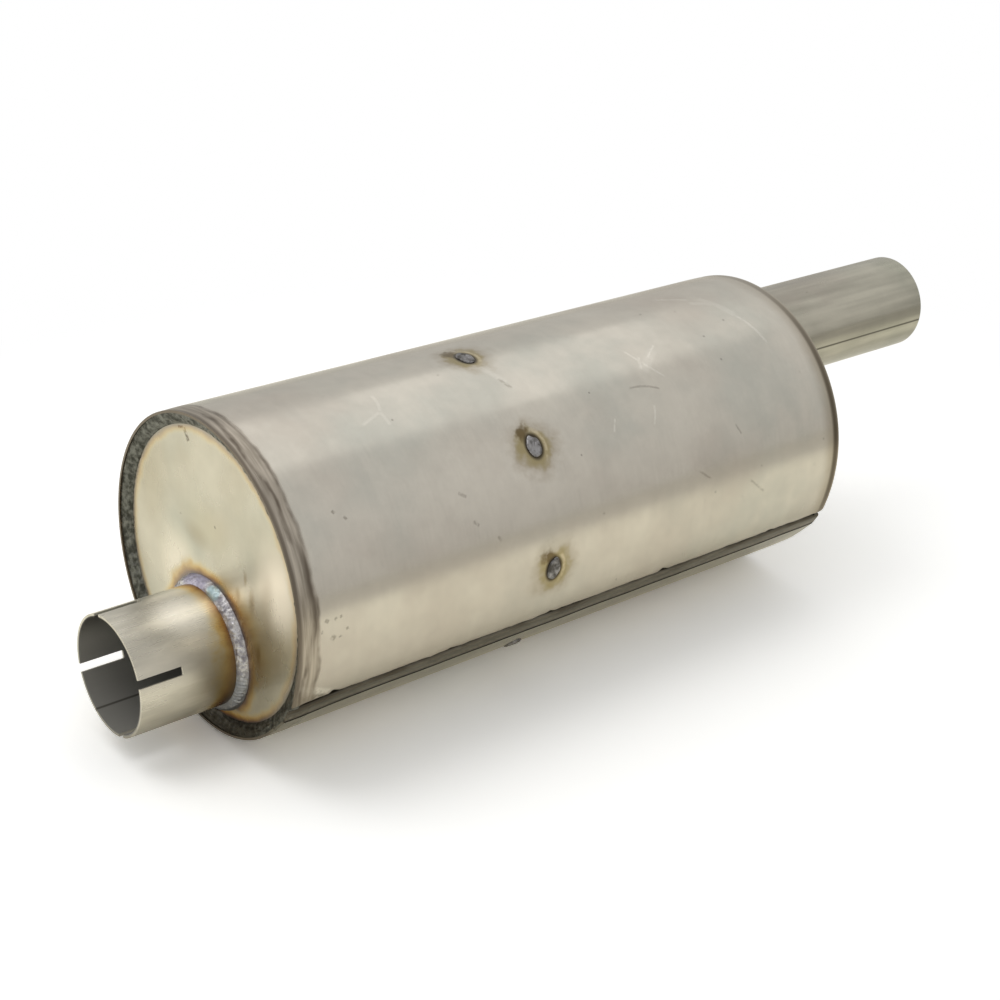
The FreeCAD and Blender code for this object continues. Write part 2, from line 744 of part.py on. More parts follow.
doc.recompute()
for item in doc.Objects:
    if "Invalid" in item.State or "Error" in item.State:
        raise RuntimeError("%s did not build: %s" % (item.Label, item.State))
for part in parts:
    if part.Shape.isNull() or not part.Shape.isValid() or len(part.Shape.Solids) != 1:
        raise RuntimeError("%s is not one valid solid" % part.Label)

os.makedirs("parts", exist_ok=True)
for part in parts:
    part.Shape.exportStep("parts/%s.step" % part.Label)
    print("%-20s volume %10.1f mm3" % (part.Label, part.Shape.Volume))
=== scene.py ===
import math
import bpy
import numpy as np
from mathutils import Matrix, Vector


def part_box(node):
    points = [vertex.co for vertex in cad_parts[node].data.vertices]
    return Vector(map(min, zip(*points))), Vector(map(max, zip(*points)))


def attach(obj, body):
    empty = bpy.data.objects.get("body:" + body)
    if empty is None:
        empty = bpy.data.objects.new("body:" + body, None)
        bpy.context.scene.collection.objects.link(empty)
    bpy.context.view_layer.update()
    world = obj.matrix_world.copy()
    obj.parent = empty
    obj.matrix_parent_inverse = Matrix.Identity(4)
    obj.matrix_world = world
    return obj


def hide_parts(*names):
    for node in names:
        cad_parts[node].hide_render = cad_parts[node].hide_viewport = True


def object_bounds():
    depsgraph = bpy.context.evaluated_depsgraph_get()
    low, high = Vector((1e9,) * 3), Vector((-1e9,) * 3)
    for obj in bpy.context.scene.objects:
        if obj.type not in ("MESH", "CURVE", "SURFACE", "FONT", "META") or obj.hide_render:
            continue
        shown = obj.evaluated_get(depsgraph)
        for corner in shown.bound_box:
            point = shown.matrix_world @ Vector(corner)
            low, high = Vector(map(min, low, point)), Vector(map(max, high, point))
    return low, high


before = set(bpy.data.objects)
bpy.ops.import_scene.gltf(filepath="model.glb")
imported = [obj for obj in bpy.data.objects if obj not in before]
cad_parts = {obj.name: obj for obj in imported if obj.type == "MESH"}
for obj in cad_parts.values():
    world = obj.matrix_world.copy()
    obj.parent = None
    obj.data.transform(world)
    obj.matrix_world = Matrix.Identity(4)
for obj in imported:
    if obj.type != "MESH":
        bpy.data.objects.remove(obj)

cad_box = [list(corner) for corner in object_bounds()]


# The rolled body: one stainless sheet bent round and closed along its length by a folded lock seam of four
# layers. It is rolled, its edges are hooked into each other and pressed flat, and the rims are then welded to
# the caps, which leaves a brown tinted band and a slight pull inwards along each rim.
mm = 0.001
sheet_wall = 1.2 * mm
body_start, body_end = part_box("shell")[0].x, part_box("shell")[1].x
body_length = body_end - body_start
body_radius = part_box("shell")[1].y
body_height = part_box("shell")[1].z - body_radius
seam_degrees = 111.4
lead_span = 27.4
seam_lift = 1.4 * mm
hook_run = 6.5 * mm
layer_gap = 0.1 * mm
seam_opening = 1.0 * mm
joggle_bend = 0.6 * mm
strip_drop = 0.6 * mm
strip_run = 6.6 * mm
strip_lean = 4.0
crease_half = 0.4 * mm
crease_depth = 0.4 * mm
sheet_wave = 0.05 * mm
rim_pull = 0.2 * mm
edge_waver = 0.12 * mm
edge_nicks = ((22, 0.8), (87, 0.6), (146, 0.6), (220, 0.9), (296, 0.4))
end_gape = 1.8 * mm
end_flare = 0.9 * mm
plug_station = body_start + 141 * mm
plug_spacing = 45
plug_hollow = 0.3 * mm


def outward(degrees):
    """Unit vectors (y, z) across the body: minus the sine and the cosine of the angle from the top."""
    angle = np.radians(degrees)
    return np.stack([-np.sin(angle), np.cos(angle)], axis=-1)


def arc(centre, radius, start, end, count, facing=1):
    """Arc in the section: the centre plus the radius times outward(angle). The skin faces out or in."""
    normals = outward(np.linspace(start, end, count))
    return centre + radius * normals, facing * normals


def straight(start, end, normal, count):
    """Straight stretch in the section: the start plus a share of the way to the end."""
    share = np.linspace(0, 1, count)[:, None]
    return start + share * (end - start), np.broadcast_to(normal, (count, 2))


def degrees_of(point):
    return math.degrees(math.atan2(-point[0], point[1]))


def seam_section():
    """Middle line of the folded sheet with its normals, from the near edge's hook to the far edge's hook.

    Every stretch is an arc about the lead arc's centre, a fold about a layer's middle, or a straight run.
    """
    lead_start = seam_degrees - lead_span
    proud = body_radius + seam_lift
    cosine = math.cos(math.radians(lead_span))
    lead_radius = ((2 * proud * body_radius * cosine - proud ** 2 - body_radius ** 2)
                   / (2 * (proud * cosine - body_radius)))
    lead_centre = outward(lead_start) * (body_radius - lead_radius)
    half = sheet_wall / 2
    layer = sheet_wall + layer_gap
    fold_reach = 1.5 * sheet_wall + layer_gap
    fold = degrees_of(outward(seam_degrees) * proud - lead_centre) - math.degrees(fold_reach / lead_radius)
    hook = fold - math.degrees(hook_run / lead_radius)
    joggle = fold + math.degrees((fold_reach + seam_opening - joggle_bend) / lead_radius)
    radial, across = outward(joggle), outward(joggle + 90)
    bend = joggle_bend + half
    lower_bend = lead_centre + radial * (lead_radius - 3 * layer + joggle_bend)
    rise = 3 * layer - 2 * bend - strip_drop
    upper_bend = lower_bend + across * 2 * bend + radial * rise
    strip = seam_degrees + strip_lean
    strip_normal, strip_along = outward(strip), outward(strip + 90)
    crease = upper_bend + strip_normal * (bend + half) + strip_along * strip_run
    flat = degrees_of(crease) + math.degrees(math.acos(body_radius / np.linalg.norm(crease)))
    flat_normal, flat_along = outward(flat), outward(flat + 90)
    middle = np.linalg.solve(
        np.array([strip_normal, flat_normal]),
        np.array([strip_normal @ crease - half, body_radius - half]),
    )
    crease_normal = (strip_normal + flat_normal) / np.linalg.norm(strip_normal + flat_normal)
    fold_middle = lead_centre + outward(fold) * (lead_radius - half - layer)
    hook_middle = lead_centre + outward(hook) * (lead_radius - half - 2 * layer)
    stretches = [
        arc(lead_centre, lead_radius - half - 2 * layer, hook, fold, 8, -1),
        arc(fold_middle, layer, fold + 180, fold, 13),
        arc(lead_centre, lead_radius - half, fold, lead_start, 26),
        arc(np.zeros(2), body_radius - half, lead_start, flat - 360, 200),
        straight(flat_normal * (body_radius - half), middle - flat_along * crease_half, flat_normal, 6),
        straight(middle, middle, crease_normal, 2),
        straight(middle - strip_along * crease_half, upper_bend + strip_normal * bend, strip_normal, 9),
        arc(upper_bend, bend, strip, joggle - 90, 7),
        straight(upper_bend - across * bend, lower_bend + across * bend, -across, 3),
        arc(lower_bend, bend, joggle + 90, joggle + 180, 7, -1),
        arc(lead_centre, lead_radius - half - 3 * layer, joggle, hook, 8),
        arc(hook_middle, layer, hook + 180, hook + 360, 9, -1),
        arc(lead_centre, lead_radius - half - layer, hook, fold, 8, -1),
    ]
    middles, normals = zip(*stretches)
    middles = [middles[0]] + [points[1:] for points in middles[1:]]
    normals = [normals[0]] + [ways[1:] for ways in normals[1:]]
    numbers = np.repeat(np.arange(len(middles)), [len(points) for points in middles])
    return np.concatenate(middles), np.concatenate(normals), numbers


section, section_normals, stretch_number = seam_section()
edge_fold, lead, round_part, flat_part, crease_line, pressed_strip = range(1, 7)
outer_stretches = (lead, round_part, flat_part, crease_line, pressed_strip)

# The chart unrolls the sheet: the way round it from the top, positive towards the seam, and the way along it.
section_way = np.concatenate([[0], np.cumsum(np.linalg.norm(np.diff(section, axis=0), axis=1))])
round_start = np.argmax(stretch_number == round_part)
section_chart = (math.radians(degrees_of(section[round_start])) * body_radius
                 - (section_way - section_way[round_start]) * body_radius / (body_radius - sheet_wall / 2))
crease_chart = section_chart[stretch_number == crease_line][0]
strip_chart = section_chart[stretch_number == pressed_strip][-1]


def uneven(turn, along, seed, coarsest, finest, count=18):
    """Unevenness that closes on itself: cosines of coarsest to finest turns plus a share of along, summed."""
    dice = np.random.default_rng(seed)
    turns = dice.integers(coarsest, finest, count)
    tilts = dice.uniform(-finest, finest, count) / 2
    starts = dice.uniform(0, 2 * math.pi, count)
    waves = [np.cos(n * turn + t * along + s) for n, t, s in zip(turns, tilts, starts)]
    return sum(waves) / math.sqrt(count)


def bump_at(distance, reach):
    """A round hollow or rise: e to the minus square of distance over reach."""
    return np.exp(-(distance / reach) ** 2)


def quads(numbers):
    """The four corners of each cell in a table of point numbers."""
    corners = [numbers[:-1, :-1], numbers[1:, :-1], numbers[1:, 1:], numbers[:-1, 1:]]
    return np.stack(corners, axis=-1).reshape(-1, 4)


def new_piece(name, points, faces, sharp_degrees=40):
    """A mesh object from points and quads. A quad with a doubled corner becomes a triangle.

    The faces are turned outwards by the sign of the volume that they close.
    """
    corners = points[faces]
    volume = np.einsum("ij,ij->i", corners[:, 0], np.cross(corners[:, 1], corners[:, 2])
                       + np.cross(corners[:, 2], corners[:, 3])).sum()
    if volume < 0:
        faces = faces[:, ::-1]
    mesh = bpy.data.meshes.new(name)
    mesh.from_pydata(points.tolist(), [], [list(dict.fromkeys(face)) for face in faces.tolist()])
    mesh.shade_smooth()
    mesh.set_sharp_from_angle(angle=math.radians(sharp_degrees))
    piece = bpy.data.objects.new(name, mesh)
    bpy.context.scene.collection.objects.link(piece)
    return piece


def body_skin():
    """The sheet: the section's middle line plus and minus half the wall, carried along X.

    Each point moves along its normal by low waves, a hollow round each plug weld, a slight pull at the rims
    and, on the folded edge, a waver and its nicks. At the near end the seam gapes and flares.
    """
    # Rows of points, in millimetres from the near rim: closer together at the rims and round the plug welds.
    row_bands = ((0, 16, 17), (16, 118, 36), (118, 164, 24), (164, 321, 46), (321, 337, 13))
    stations = np.unique(np.concatenate([np.linspace(*band) for band in row_bands])) * mm
    angle = np.degrees(np.arctan2(-section[:, 0], section[:, 1]))[:, None]
    turn = np.radians(angle)
    # The layers hidden in the seam end a little short of the rims.
    depth = body_radius + seam_lift - np.linalg.norm(section, axis=1)[:, None]
    hidden = ~np.isin(stretch_number, outer_stretches)[:, None]
    set_back = 4 * mm * np.clip((depth - 1.6 * mm) / (1.6 * mm), 0, 1) * hidden
    x = set_back + stations[None, :] * (body_length - 2 * set_back) / body_length
    from_rim = np.minimum(x, body_length - x)
    push = sheet_wave * (uneven(turn, x * 4, 3, 1, 7) - 2)
    push = push - rim_pull * bump_at(from_rim, 6 * mm)
    along_ring = np.radians((angle + plug_spacing / 2) % plug_spacing - plug_spacing / 2) * body_radius
    plug_distance = np.hypot(along_ring, x - (plug_station - body_start))
    push = push - plug_hollow * bump_at(plug_distance, 11 * mm)
    edge_weight = np.where(stretch_number == edge_fold, 1.0, 0.0)[:, None]
    edge_weight = np.where((stretch_number == lead)[:, None], bump_at(angle - seam_degrees, 1.2), edge_weight)
    for station, nick in edge_nicks:
        push = push - nick * mm * edge_weight * bump_at(x - station * mm, 1.7 * mm)
    push = push + edge_waver * edge_weight * (uneven(x / body_length * 2 * math.pi, x, 5, 6, 50) - 1)
    beyond = ((stretch_number >= flat_part) & (stretch_number <= pressed_strip + 2))[:, None]
    gape = (end_gape * bump_at(x, 19 * mm) + edge_waver * (uneven(x * 18, 0, 8, 1, 12) + 1)) * beyond
    edge = ((stretch_number <= lead) | (stretch_number > pressed_strip + 4))[:, None]
    flare = end_flare * bump_at(x, 7 * mm) * bump_at(angle - seam_degrees, 5) * edge
    middle = (section[:, None, :] + section_normals[:, None, :] * push[..., None]
              + gape[..., None] * outward(seam_degrees + 90) + flare[..., None] * outward(seam_degrees))
    groove = np.where(stretch_number == crease_line, crease_depth, 0.0)[:, None, None]
    outer = middle + section_normals[:, None, :] * (sheet_wall / 2 - groove)
    inner = middle - section_normals[:, None, :] * (sheet_wall / 2)
    rows, columns = len(section), len(stations)

    def in_space(skin):
        along = np.broadcast_to(body_start + x, skin.shape[:2])
        return np.stack([along, skin[..., 0], body_height + skin[..., 1]], axis=-1).reshape(-1, 3)

    points = np.concatenate([in_space(outer), in_space(inner)])
    above = np.arange(rows * columns).reshape(rows, columns)
    below = above + rows * columns
    faces = np.concatenate([
        quads(np.concatenate([above, below[::-1], above[:1]])),
        quads(np.stack([below[:, 0], above[:, 0]], axis=1)),
        quads(np.stack([above[:, -1], below[:, -1]], axis=1)),
    ])
    piece = new_piece("shell_skin", points, faces)
    spread = np.stack([np.broadcast_to(section_chart[:, None], (rows, columns)), x], axis=-1).reshape(-1, 2)
    corner_points = np.empty(len(piece.data.loops), np.int32)
    piece.data.loops.foreach_get("vertex_index", corner_points)
    chart = piece.data.uv_layers.new(name="unrolled")
    chart.data.foreach_set("uv", np.tile(spread, (2, 1))[corner_points].astype(np.float32).ravel())
    return piece


def put(kind, inputs, tree=None, **settings):
    """One shader node. inputs maps a socket to a value or to another node's output.

    The node goes into the tree of the outputs that feed it, or else into the given tree.
    """
    fed = {socket: value for socket, value in inputs.items() if isinstance(value, bpy.types.NodeSocket)}
    tree = tree or next(iter(fed.values())).id_data
    made = tree.nodes.new(kind)
    for name, value in settings.items():
        setattr(made, name, value)
    for socket, value in inputs.items():
        if socket in fed:
            tree.links.new(value, made.inputs[socket])
        else:
            made.inputs[socket].default_value = value
    return made


def calc(operation, a, b=0.0, c=0.0):
    return put("ShaderNodeMath", {0: a, 1: b, 2: c}, operation=operation).outputs[0]


def times(a, b):
    return calc("MULTIPLY", a, b)


def plus(a, b):
    return calc("ADD", a, b)


def minus(a, b):
    return calc("SUBTRACT", a, b)


def larger(a, b):
    return calc("MAXIMUM", a, b)


def apart(a, b):
    """How far a lies from b, either way."""
    return calc("ABSOLUTE", minus(a, b))


def fade(value, low, high, start=0.0, end=1.0):
    """A smooth step from start to end while value goes from low to high."""
    ends = {0: value, 1: low, 2: high, 3: start, 4: end}
    return put("ShaderNodeMapRange", ends, interpolation_type="SMOOTHSTEP").outputs[0]


def tone(factor, a, b, blend="MIX"):
    """Two colours mixed by a factor."""
    return put("ShaderNodeMix", {0: factor, 6: a, 7: b}, data_type="RGBA", blend_type=blend).outputs[2]


def shaded(colour, share):
    """The colour multiplied by one number."""
    grey = put("ShaderNodeCombineColor", {0: share, 1: share, 2: share}).outputs[0]
    return tone(1.0, colour, grey, "MULTIPLY")


def speckle(place, scale, detail=2.0, roughness=0.5):
    return put("ShaderNodeTexNoise", {
        "Vector": place, "Scale": scale, "Detail": detail, "Roughness": roughness,
    }).outputs[0]


def stretched(place, scale=(1, 1, 1), location=(0, 0, 0)):
    return put("ShaderNodeMapping", {"Vector": place, "Location": location, "Scale": scale}).outputs[0]


def streaks_of(place, waves, detail=2.0, roughness=0.5):
    """Noise with its own number of waves a metre along each axis."""
    return speckle(stretched(place, waves), 1.0, detail, roughness)


def length_of(vector):
    return put("ShaderNodeVectorMath", {0: vector}, operation="LENGTH").outputs["Value"]


def new_group(name, inputs, outputs):
    """An empty node group with its sockets, its input node and its output node."""
    tree = bpy.data.node_groups.new(name, "ShaderNodeTree")
    for way, sockets in (("INPUT", inputs), ("OUTPUT", outputs)):
        for label, kind in sockets:
            tree.interface.new_socket(label, in_out=way, socket_type="NodeSocket" + kind)
    return tree, tree.nodes.new("NodeGroupInput").outputs, tree.nodes.new("NodeGroupOutput").inputs


def use(group, **inputs):
    """A node group placed in a material, its sockets given by name."""
    named = {name.replace("_", " "): value for name, value in inputs.items()}
    return put("ShaderNodeGroup", named, node_tree=group).outputs


def mill_finish_group():
    """Rolled stainless: faint warm and cold clouds, fine grain along one way, a mottle and dark specks."""
    tree, given, result = new_group(
        "mill_finish",
        [("Place", "Vector"), ("Grain Place", "Vector"), ("Gloss", "Float"),
         ("Steel", "Color"), ("Warm", "Color"), ("Cold", "Color")],
        [("Color", "Color"), ("Roughness", "Float"), ("Height", "Float")],
    )
    patches = speckle(given["Place"], 11.0, 3.0, 0.55)
    clouds = speckle(stretched(given["Place"], location=(3, 7, 1)), 23.0, 3.0, 0.6)
    grain = speckle(given["Grain Place"], 1.0, 3.0, 0.6)
    bands = streaks_of(given["Grain Place"], (0.12, 0.12, 0.12), 3.0, 0.55)
    fine = streaks_of(given["Grain Place"], (2.7, 2.7, 2.7))
    colour = tone(fade(patches, 0.38, 0.62), given["Cold"], given["Warm"])
    colour = tone(fade(clouds, 0.35, 0.7, 0.1, 0.9), given["Steel"], colour)
    shade = times(fade(grain, 0.25, 0.75, 0.985, 1.01), fade(bands, 0.3, 0.7, 0.985, 1.01))
    shade = times(shade, fade(clouds, 0.32, 0.68, 1.035, 0.915))
    mottle = speckle(given["Place"], 75.0, 5.0, 0.75)
    shade = times(shade, fade(mottle, 0.3, 0.7, 1.02, 0.965))
    colour = shaded(colour, shade)
    spots = put("ShaderNodeTexVoronoi", {"Vector": given["Place"], "Scale": 150.0, "Randomness": 1.0})
    chance = put("ShaderNodeSeparateColor", {0: spots.outputs["Color"]})
    size = fade(chance.outputs[0], 0.6, 1.0, 0.0, 0.12)
    speck = fade(minus(spots.outputs["Distance"], size), -0.05, 0.02, 1.0, 0.0)
    speck = times(speck, fade(chance.outputs[1], 0.5, 0.8, 0.0, 0.45))
    colour = tone(speck, colour, (0.13, 0.12, 0.1, 1))
    rough = fade(clouds, 0.3, 0.7, -0.04, 0.05)
    rough = plus(rough, fade(grain, 0.3, 0.7, -0.015, 0.015))
    tree.links.new(colour, result["Color"])
    tree.links.new(plus(rough, given["Gloss"]), result["Roughness"])
    grain_relief = times(fade(fine, 0.2, 0.8), 0.0035 * mm)
    relief = calc("MULTIPLY_ADD", speck, -0.04 * mm, grain_relief)
    tree.links.new(relief, result["Height"])
    return tree


def heat_tint_group():
    """Oxide colours beside a weld: purple brown at the toe, brown, gold, straw, then the bare steel."""
    tree, given, result = new_group(
        "heat_tint",
        [("Distance", "Float"), ("Reach", "Float"), ("Place", "Vector"), ("Steel", "Color"),
         ("Amount", "Float")],
        [("Color", "Color"), ("Share", "Float")],
    )
    wobble = fade(speckle(given["Place"], 90.0, 3.0, 0.6), 0.2, 0.8, -0.28, 0.28)
    share = calc("DIVIDE", given["Distance"], given["Reach"])
    share = plus(share, times(wobble, fade(share, 0.0, 1.0, 0.25, 1.0)))
    ramp = put("ShaderNodeValToRGB", {0: share})
    stops = (
        (0.0, (0.05, 0.035, 0.045)),
        (0.12, (0.16, 0.075, 0.05)),
        (0.26, (0.38, 0.21, 0.06)),
        (0.45, (0.64, 0.45, 0.17)),
        (0.7, (0.7, 0.6, 0.38)),
        (1.0, (0.7, 0.66, 0.56)),
    )
    while len(ramp.color_ramp.elements) < len(stops):
        ramp.color_ramp.elements.new(0.5)
    for element, (position, colour) in zip(ramp.color_ramp.elements, stops):
        element.position = position
        element.color = (*colour, 1)
    cover = times(fade(share, 0.45, 1.15, 1.0, 0.0), given["Amount"])
    tree.links.new(tone(cover, given["Steel"], ramp.outputs[0]), result["Color"])
    tree.links.new(cover, result["Share"])
    return tree


def scratch_group():
    """One scratch: a bowed line about its middle. Turn is the angle of its direction."""
    tree, given, result = new_group(
        "scratch",
        [("Chart", "Vector"), ("Middle", "Vector"), ("Turn", "Float"), ("Half Length", "Float"),
         ("Bow", "Float"), ("Width", "Float")],
        [("Mask", "Float")],
    )
    moved = put("ShaderNodeVectorMath", {0: given["Chart"], 1: given["Middle"]}, operation="SUBTRACT")
    turned = put("ShaderNodeVectorRotate", {
        "Vector": moved.outputs[0], "Angle": times(given["Turn"], -1.0),
    }, rotation_type="Z_AXIS")
    ahead, aside = put("ShaderNodeSeparateXYZ", {0: turned.outputs[0]}).outputs[:2]
    share = calc("DIVIDE", ahead, given["Half Length"])
    bow = times(given["Bow"], minus(1.0, times(share, share)))
    off = apart(aside, bow)
    line = fade(calc("DIVIDE", off, given["Width"]), 0.3, 1.0, 1.0, 0.0)
    line = times(line, fade(calc("ABSOLUTE", share), 0.75, 1.0, 1.0, 0.0))
    tree.links.new(line, result["Mask"])
    return tree


def new_material(name):
    """A material with its Principled shader, wired to the output, and the place on the object."""
    material = bpy.data.materials.new(name)
    material.use_nodes = True
    tree = material.node_tree
    tree.nodes.clear()
    shader = tree.nodes.new("ShaderNodeBsdfPrincipled")
    put("ShaderNodeOutputMaterial", {0: shader.outputs[0]})
    return material, shader, tree.nodes.new("ShaderNodeTexCoord").outputs["Object"]


def wear(shader, colour, roughness, height, metal=None):
    """Feeds a finish into the shader: bare metal, unless metal says less in places. height is in metres."""
    shader.inputs["Metallic"].default_value = 1.0
    relief = put("ShaderNodeBump", {"Height": height, "Strength": 1.0, "Distance": 1.0}).outputs[0]
    feeds = {"Base Color": colour, "Roughness": roughness, "Normal": relief, "Metallic": metal}
    for name, output in feeds.items():
        if output is not None:
            shader.id_data.links.new(output, shader.inputs[name])


mill_finish = mill_finish_group()
heat_tint = heat_tint_group()
scratch = scratch_group()
bright_scratch = (0.92, 0.89, 0.83, 1)
dark_scratch = (0.16, 0.14, 0.11, 1)


def scratched(colour, chart, groups):
    """The colour with groups of scratches, worn away in places.

    A group is a colour, a strength and its scratches: a start, an end, a bow and a width each, in mm.
    """
    for mark, strength, scratches in groups:
        masks = 0.0
        for start, end, bow, width in scratches:
            start, end = Vector((*start, 0)) * mm, Vector((*end, 0)) * mm
            way = end - start
            mask = use(
                scratch, Chart=chart, Middle=(start + end) / 2, Turn=math.atan2(way.y, way.x),
                Half_Length=way.length / 2, Bow=bow * mm, Width=width * mm,
            )["Mask"]
            masks = larger(masks, mask)
        worn = fade(speckle(chart, 700.0), 0.36, 0.52, 0.1, strength)
        colour = tone(times(masks, worn), colour, mark)
    return colour


def body_material():
    material, shader, place = new_material("shell_sheet")
    chart = put("ShaderNodeUVMap", {}, material.node_tree, uv_map="unrolled").outputs[0]
    around, along = put("ShaderNodeSeparateXYZ", {0: chart}).outputs[:2]
    sheet = use(
        mill_finish, Place=place, Grain_Place=stretched(chart, (60, 900, 1)), Gloss=0.21,
        Steel=(0.63, 0.595, 0.535, 1), Warm=(0.645, 0.593, 0.53, 1), Cold=(0.605, 0.6, 0.547, 1),
    )
    roughness, height = sheet["Roughness"], sheet["Height"]

    # Long bright scratches, wide faint scuffs, short dark nicks, pits, and where rim and seam meet a bright
    # smear with a painted highlight and a line of painted shade.
    colour = scratched(sheet["Color"], chart, (
        (bright_scratch, 0.27, (
            ((20, 301), (44, 307), 1.4, 1.3), ((-11, 271), (0, 289), 0, 0.9),
            ((24, 220), (46, 234), -1.2, 0.9), ((26, 240), (33, 230), 0, 0.9),
            ((57, 218), (67, 213), 0.6, 0.8), ((58, 192), (65, 188), 0, 0.8), ((30, 226), (38, 222), 0, 1.2),
        )),
        (bright_scratch, 0.16, (
            ((10, 79), (22, 76), 1, 1.2), ((22, 76), (27, 63), 0, 1.1), ((22, 76), (31, 76), 0, 1.2),
            ((0, 293), (22, 302), 0.8, 3.0), ((28, 238), (40, 222), 0, 3.5), ((3, 285), (9, 299), 0, 2.5),
            ((6, 139.5), (26, 147), 0, 2.6),
        )),
        (dark_scratch, 0.34, (
            ((46, 208), (51, 227), 1.5, 0.9), ((108, 270), (118, 282), 0, 0.9),
            ((21, 144), (29, 147), 0, 1.4), ((78, 264), (84, 267), 0, 0.8), ((95, 235), (101, 243), 0, 0.8),
            ((70, 92), (73, 96), 0, 1.2), ((84, 96), (87, 99), 0, 1.1), ((94, 108), (97, 110), 0, 1.0),
        )),
        (dark_scratch, 0.5, (
            ((61.3, 28), (63, 29), 0, 1.1), ((65, 32.6), (67, 33.6), 0, 1.0),
            ((105.6, 13), (107, 15), 0, 1.3), ((106, 18), (107, 19), 0, 1.1),
            ((105.5, 21), (107, 21.5), 0, 1.2), ((114, 16), (116, 18), 0, 1.7),
            ((115, 20.5), (116, 21), 0, 1.3), ((112, 24), (113.5, 24.5), 0, 1.0),
            ((110, 11), (111.5, 11.5), 0, 1.0),
        )),
        # A bright smear with a painted highlight on the flared lip, then a dark line of painted shade at the
        # folded edge.
        (bright_scratch, 0.6, (((136.5, 0.5), (145.5, 20), 0, 2.4),)),
        (dark_scratch, 0.8, (((142.5, 0.5), (147.5, 17), 0, 2.4),)),
    ))

    # Halo of each plug weld: a dark toe round the oval nugget, a light rim on one side that is ground steel
    # with a painted highlight, a burnt blotch on the other, then olive and straw that fade out unevenly.
    straw, olive, scorched = (0.4, 0.35, 0.275, 1), (0.33, 0.27, 0.125, 1), (0.14, 0.1, 0.05, 1)
    ground_steel_highlight, undercut = (0.72, 0.63, 0.46, 1), (0.05, 0.04, 0.03, 1)
    spacing = math.radians(plug_spacing) * body_radius
    beside = calc("FLOORED_MODULO", plus(around, spacing / 2), spacing)
    beside = minus(beside, spacing / 2)
    ahead = minus(along, plug_station - body_start)
    spot = put("ShaderNodeCombineXYZ", {0: beside, 1: ahead}).outputs[0]
    ragged = fade(speckle(place, 130.0, 3.0, 0.6), 0.25, 0.75, -2.5 * mm, 2.5 * mm)
    reach = plus(length_of(spot), ragged)
    colour = tone(fade(reach, 9 * mm, 18 * mm, 0.6, 0.0), colour, straw)
    colour = tone(fade(reach, 6.5 * mm, 12.5 * mm, 0.78, 0.0), colour, olive)
    blotch = length_of(stretched(spot, location=(7.5 * mm, 2.8 * mm, 0)))
    blotch = fade(plus(blotch, ragged), 1.5 * mm, 5.5 * mm, 0.85, 0.0)
    colour = tone(blotch, colour, scorched)
    oval = length_of(stretched(spot, (4.75 / 6.25, 1, 1)))
    # The light rim on one side only: ground steel with a painted highlight.
    ground_and_highlight = fade(apart(oval, 6.3 * mm), 0.2 * mm, 1.4 * mm, 0.5, 0.0)
    ground_and_highlight = times(ground_and_highlight, fade(plus(ahead, ragged), 1 * mm, 5 * mm))
    ground_and_highlight = times(ground_and_highlight, fade(speckle(place, 330.0), 0.35, 0.6, 0.2, 1.0))
    colour = tone(ground_and_highlight, colour, ground_steel_highlight)
    colour = tone(fade(oval, 4.2 * mm, 5.9 * mm, 0.94, 0.0), colour, undercut)

    # Tinted band along the near rim: a smoky ribbon between two uneven burnt lines that meet in places.
    rim_band = 11 * mm
    smoky, pale, burnt_brown = (0.24, 0.205, 0.165, 1), (0.49, 0.435, 0.37, 1), (0.125, 0.102, 0.08, 1)
    wander = streaks_of(chart, (17, 2, 0))
    streaks = streaks_of(chart, (28, 480, 1), 3.0, 0.6)
    smoke = streaks_of(chart, (45, 110, 1), 3.0, 0.6)
    ripple = fade(streaks_of(chart, (60, 60, 1)), 0.25, 0.75, -0.9 * mm, 0.9 * mm)
    rim = plus(along, ripple)
    band = fade(rim, rim_band - 2.5 * mm, rim_band + 1 * mm, 0.8, 0.0)
    colour = tone(band, colour, tone(fade(streaks, 0.32, 0.66), smoky, pale))
    inner_line = apart(rim, fade(wander, 0.36, 0.66, 2.5 * mm, 8 * mm))
    outer_line = apart(rim, rim_band - 1.5 * mm)
    burnt = larger(fade(inner_line, 0.0, 2.4 * mm, 0.92, 0.0),
                   fade(outer_line, 0.0, 1.8 * mm, 0.8, 0.0))
    burnt = times(burnt, fade(smoke, 0.36, 0.62, 1.0, 0.3))
    burnt = larger(burnt, fade(along, 0.8 * mm, 2.8 * mm, 0.8, 0.0))
    meeting = times(fade(inner_line, 0.5 * mm, 3.5 * mm, 0.95, 0.0),
                    fade(outer_line, 0.5 * mm, 4 * mm, 1.0, 0.0))
    knots = times(fade(smoke, 0.3, 0.42, 0.85, 0.0), fade(rim, 5 * mm, 9 * mm, 1.0, 0.0))
    burnt = larger(larger(burnt, meeting), knots)
    colour = tone(burnt, colour, burnt_brown)
    height = calc("MULTIPLY_ADD", burnt, -0.08 * mm, height)
    roughness = calc("MULTIPLY_ADD", band, 0.12, roughness)

    # The far rim: a narrow brown line and a faint straw glow, both stronger lower down.
    far_brown, far_straw = (0.1, 0.08, 0.055, 1), (0.36, 0.31, 0.235, 1)
    from_end = minus(body_length, along)
    lower = fade(around, -20 * mm, 90 * mm, 0.45, 1.0)
    glow = fade(plus(from_end, ripple), 3 * mm, 13 * mm, 0.75, 0.0)
    colour = tone(times(glow, lower), colour, far_straw)
    far_line = fade(apart(from_end, 2.4 * mm), 0.6 * mm, 3 * mm, 0.9, 0.0)
    colour = tone(times(far_line, lower), colour, far_brown)
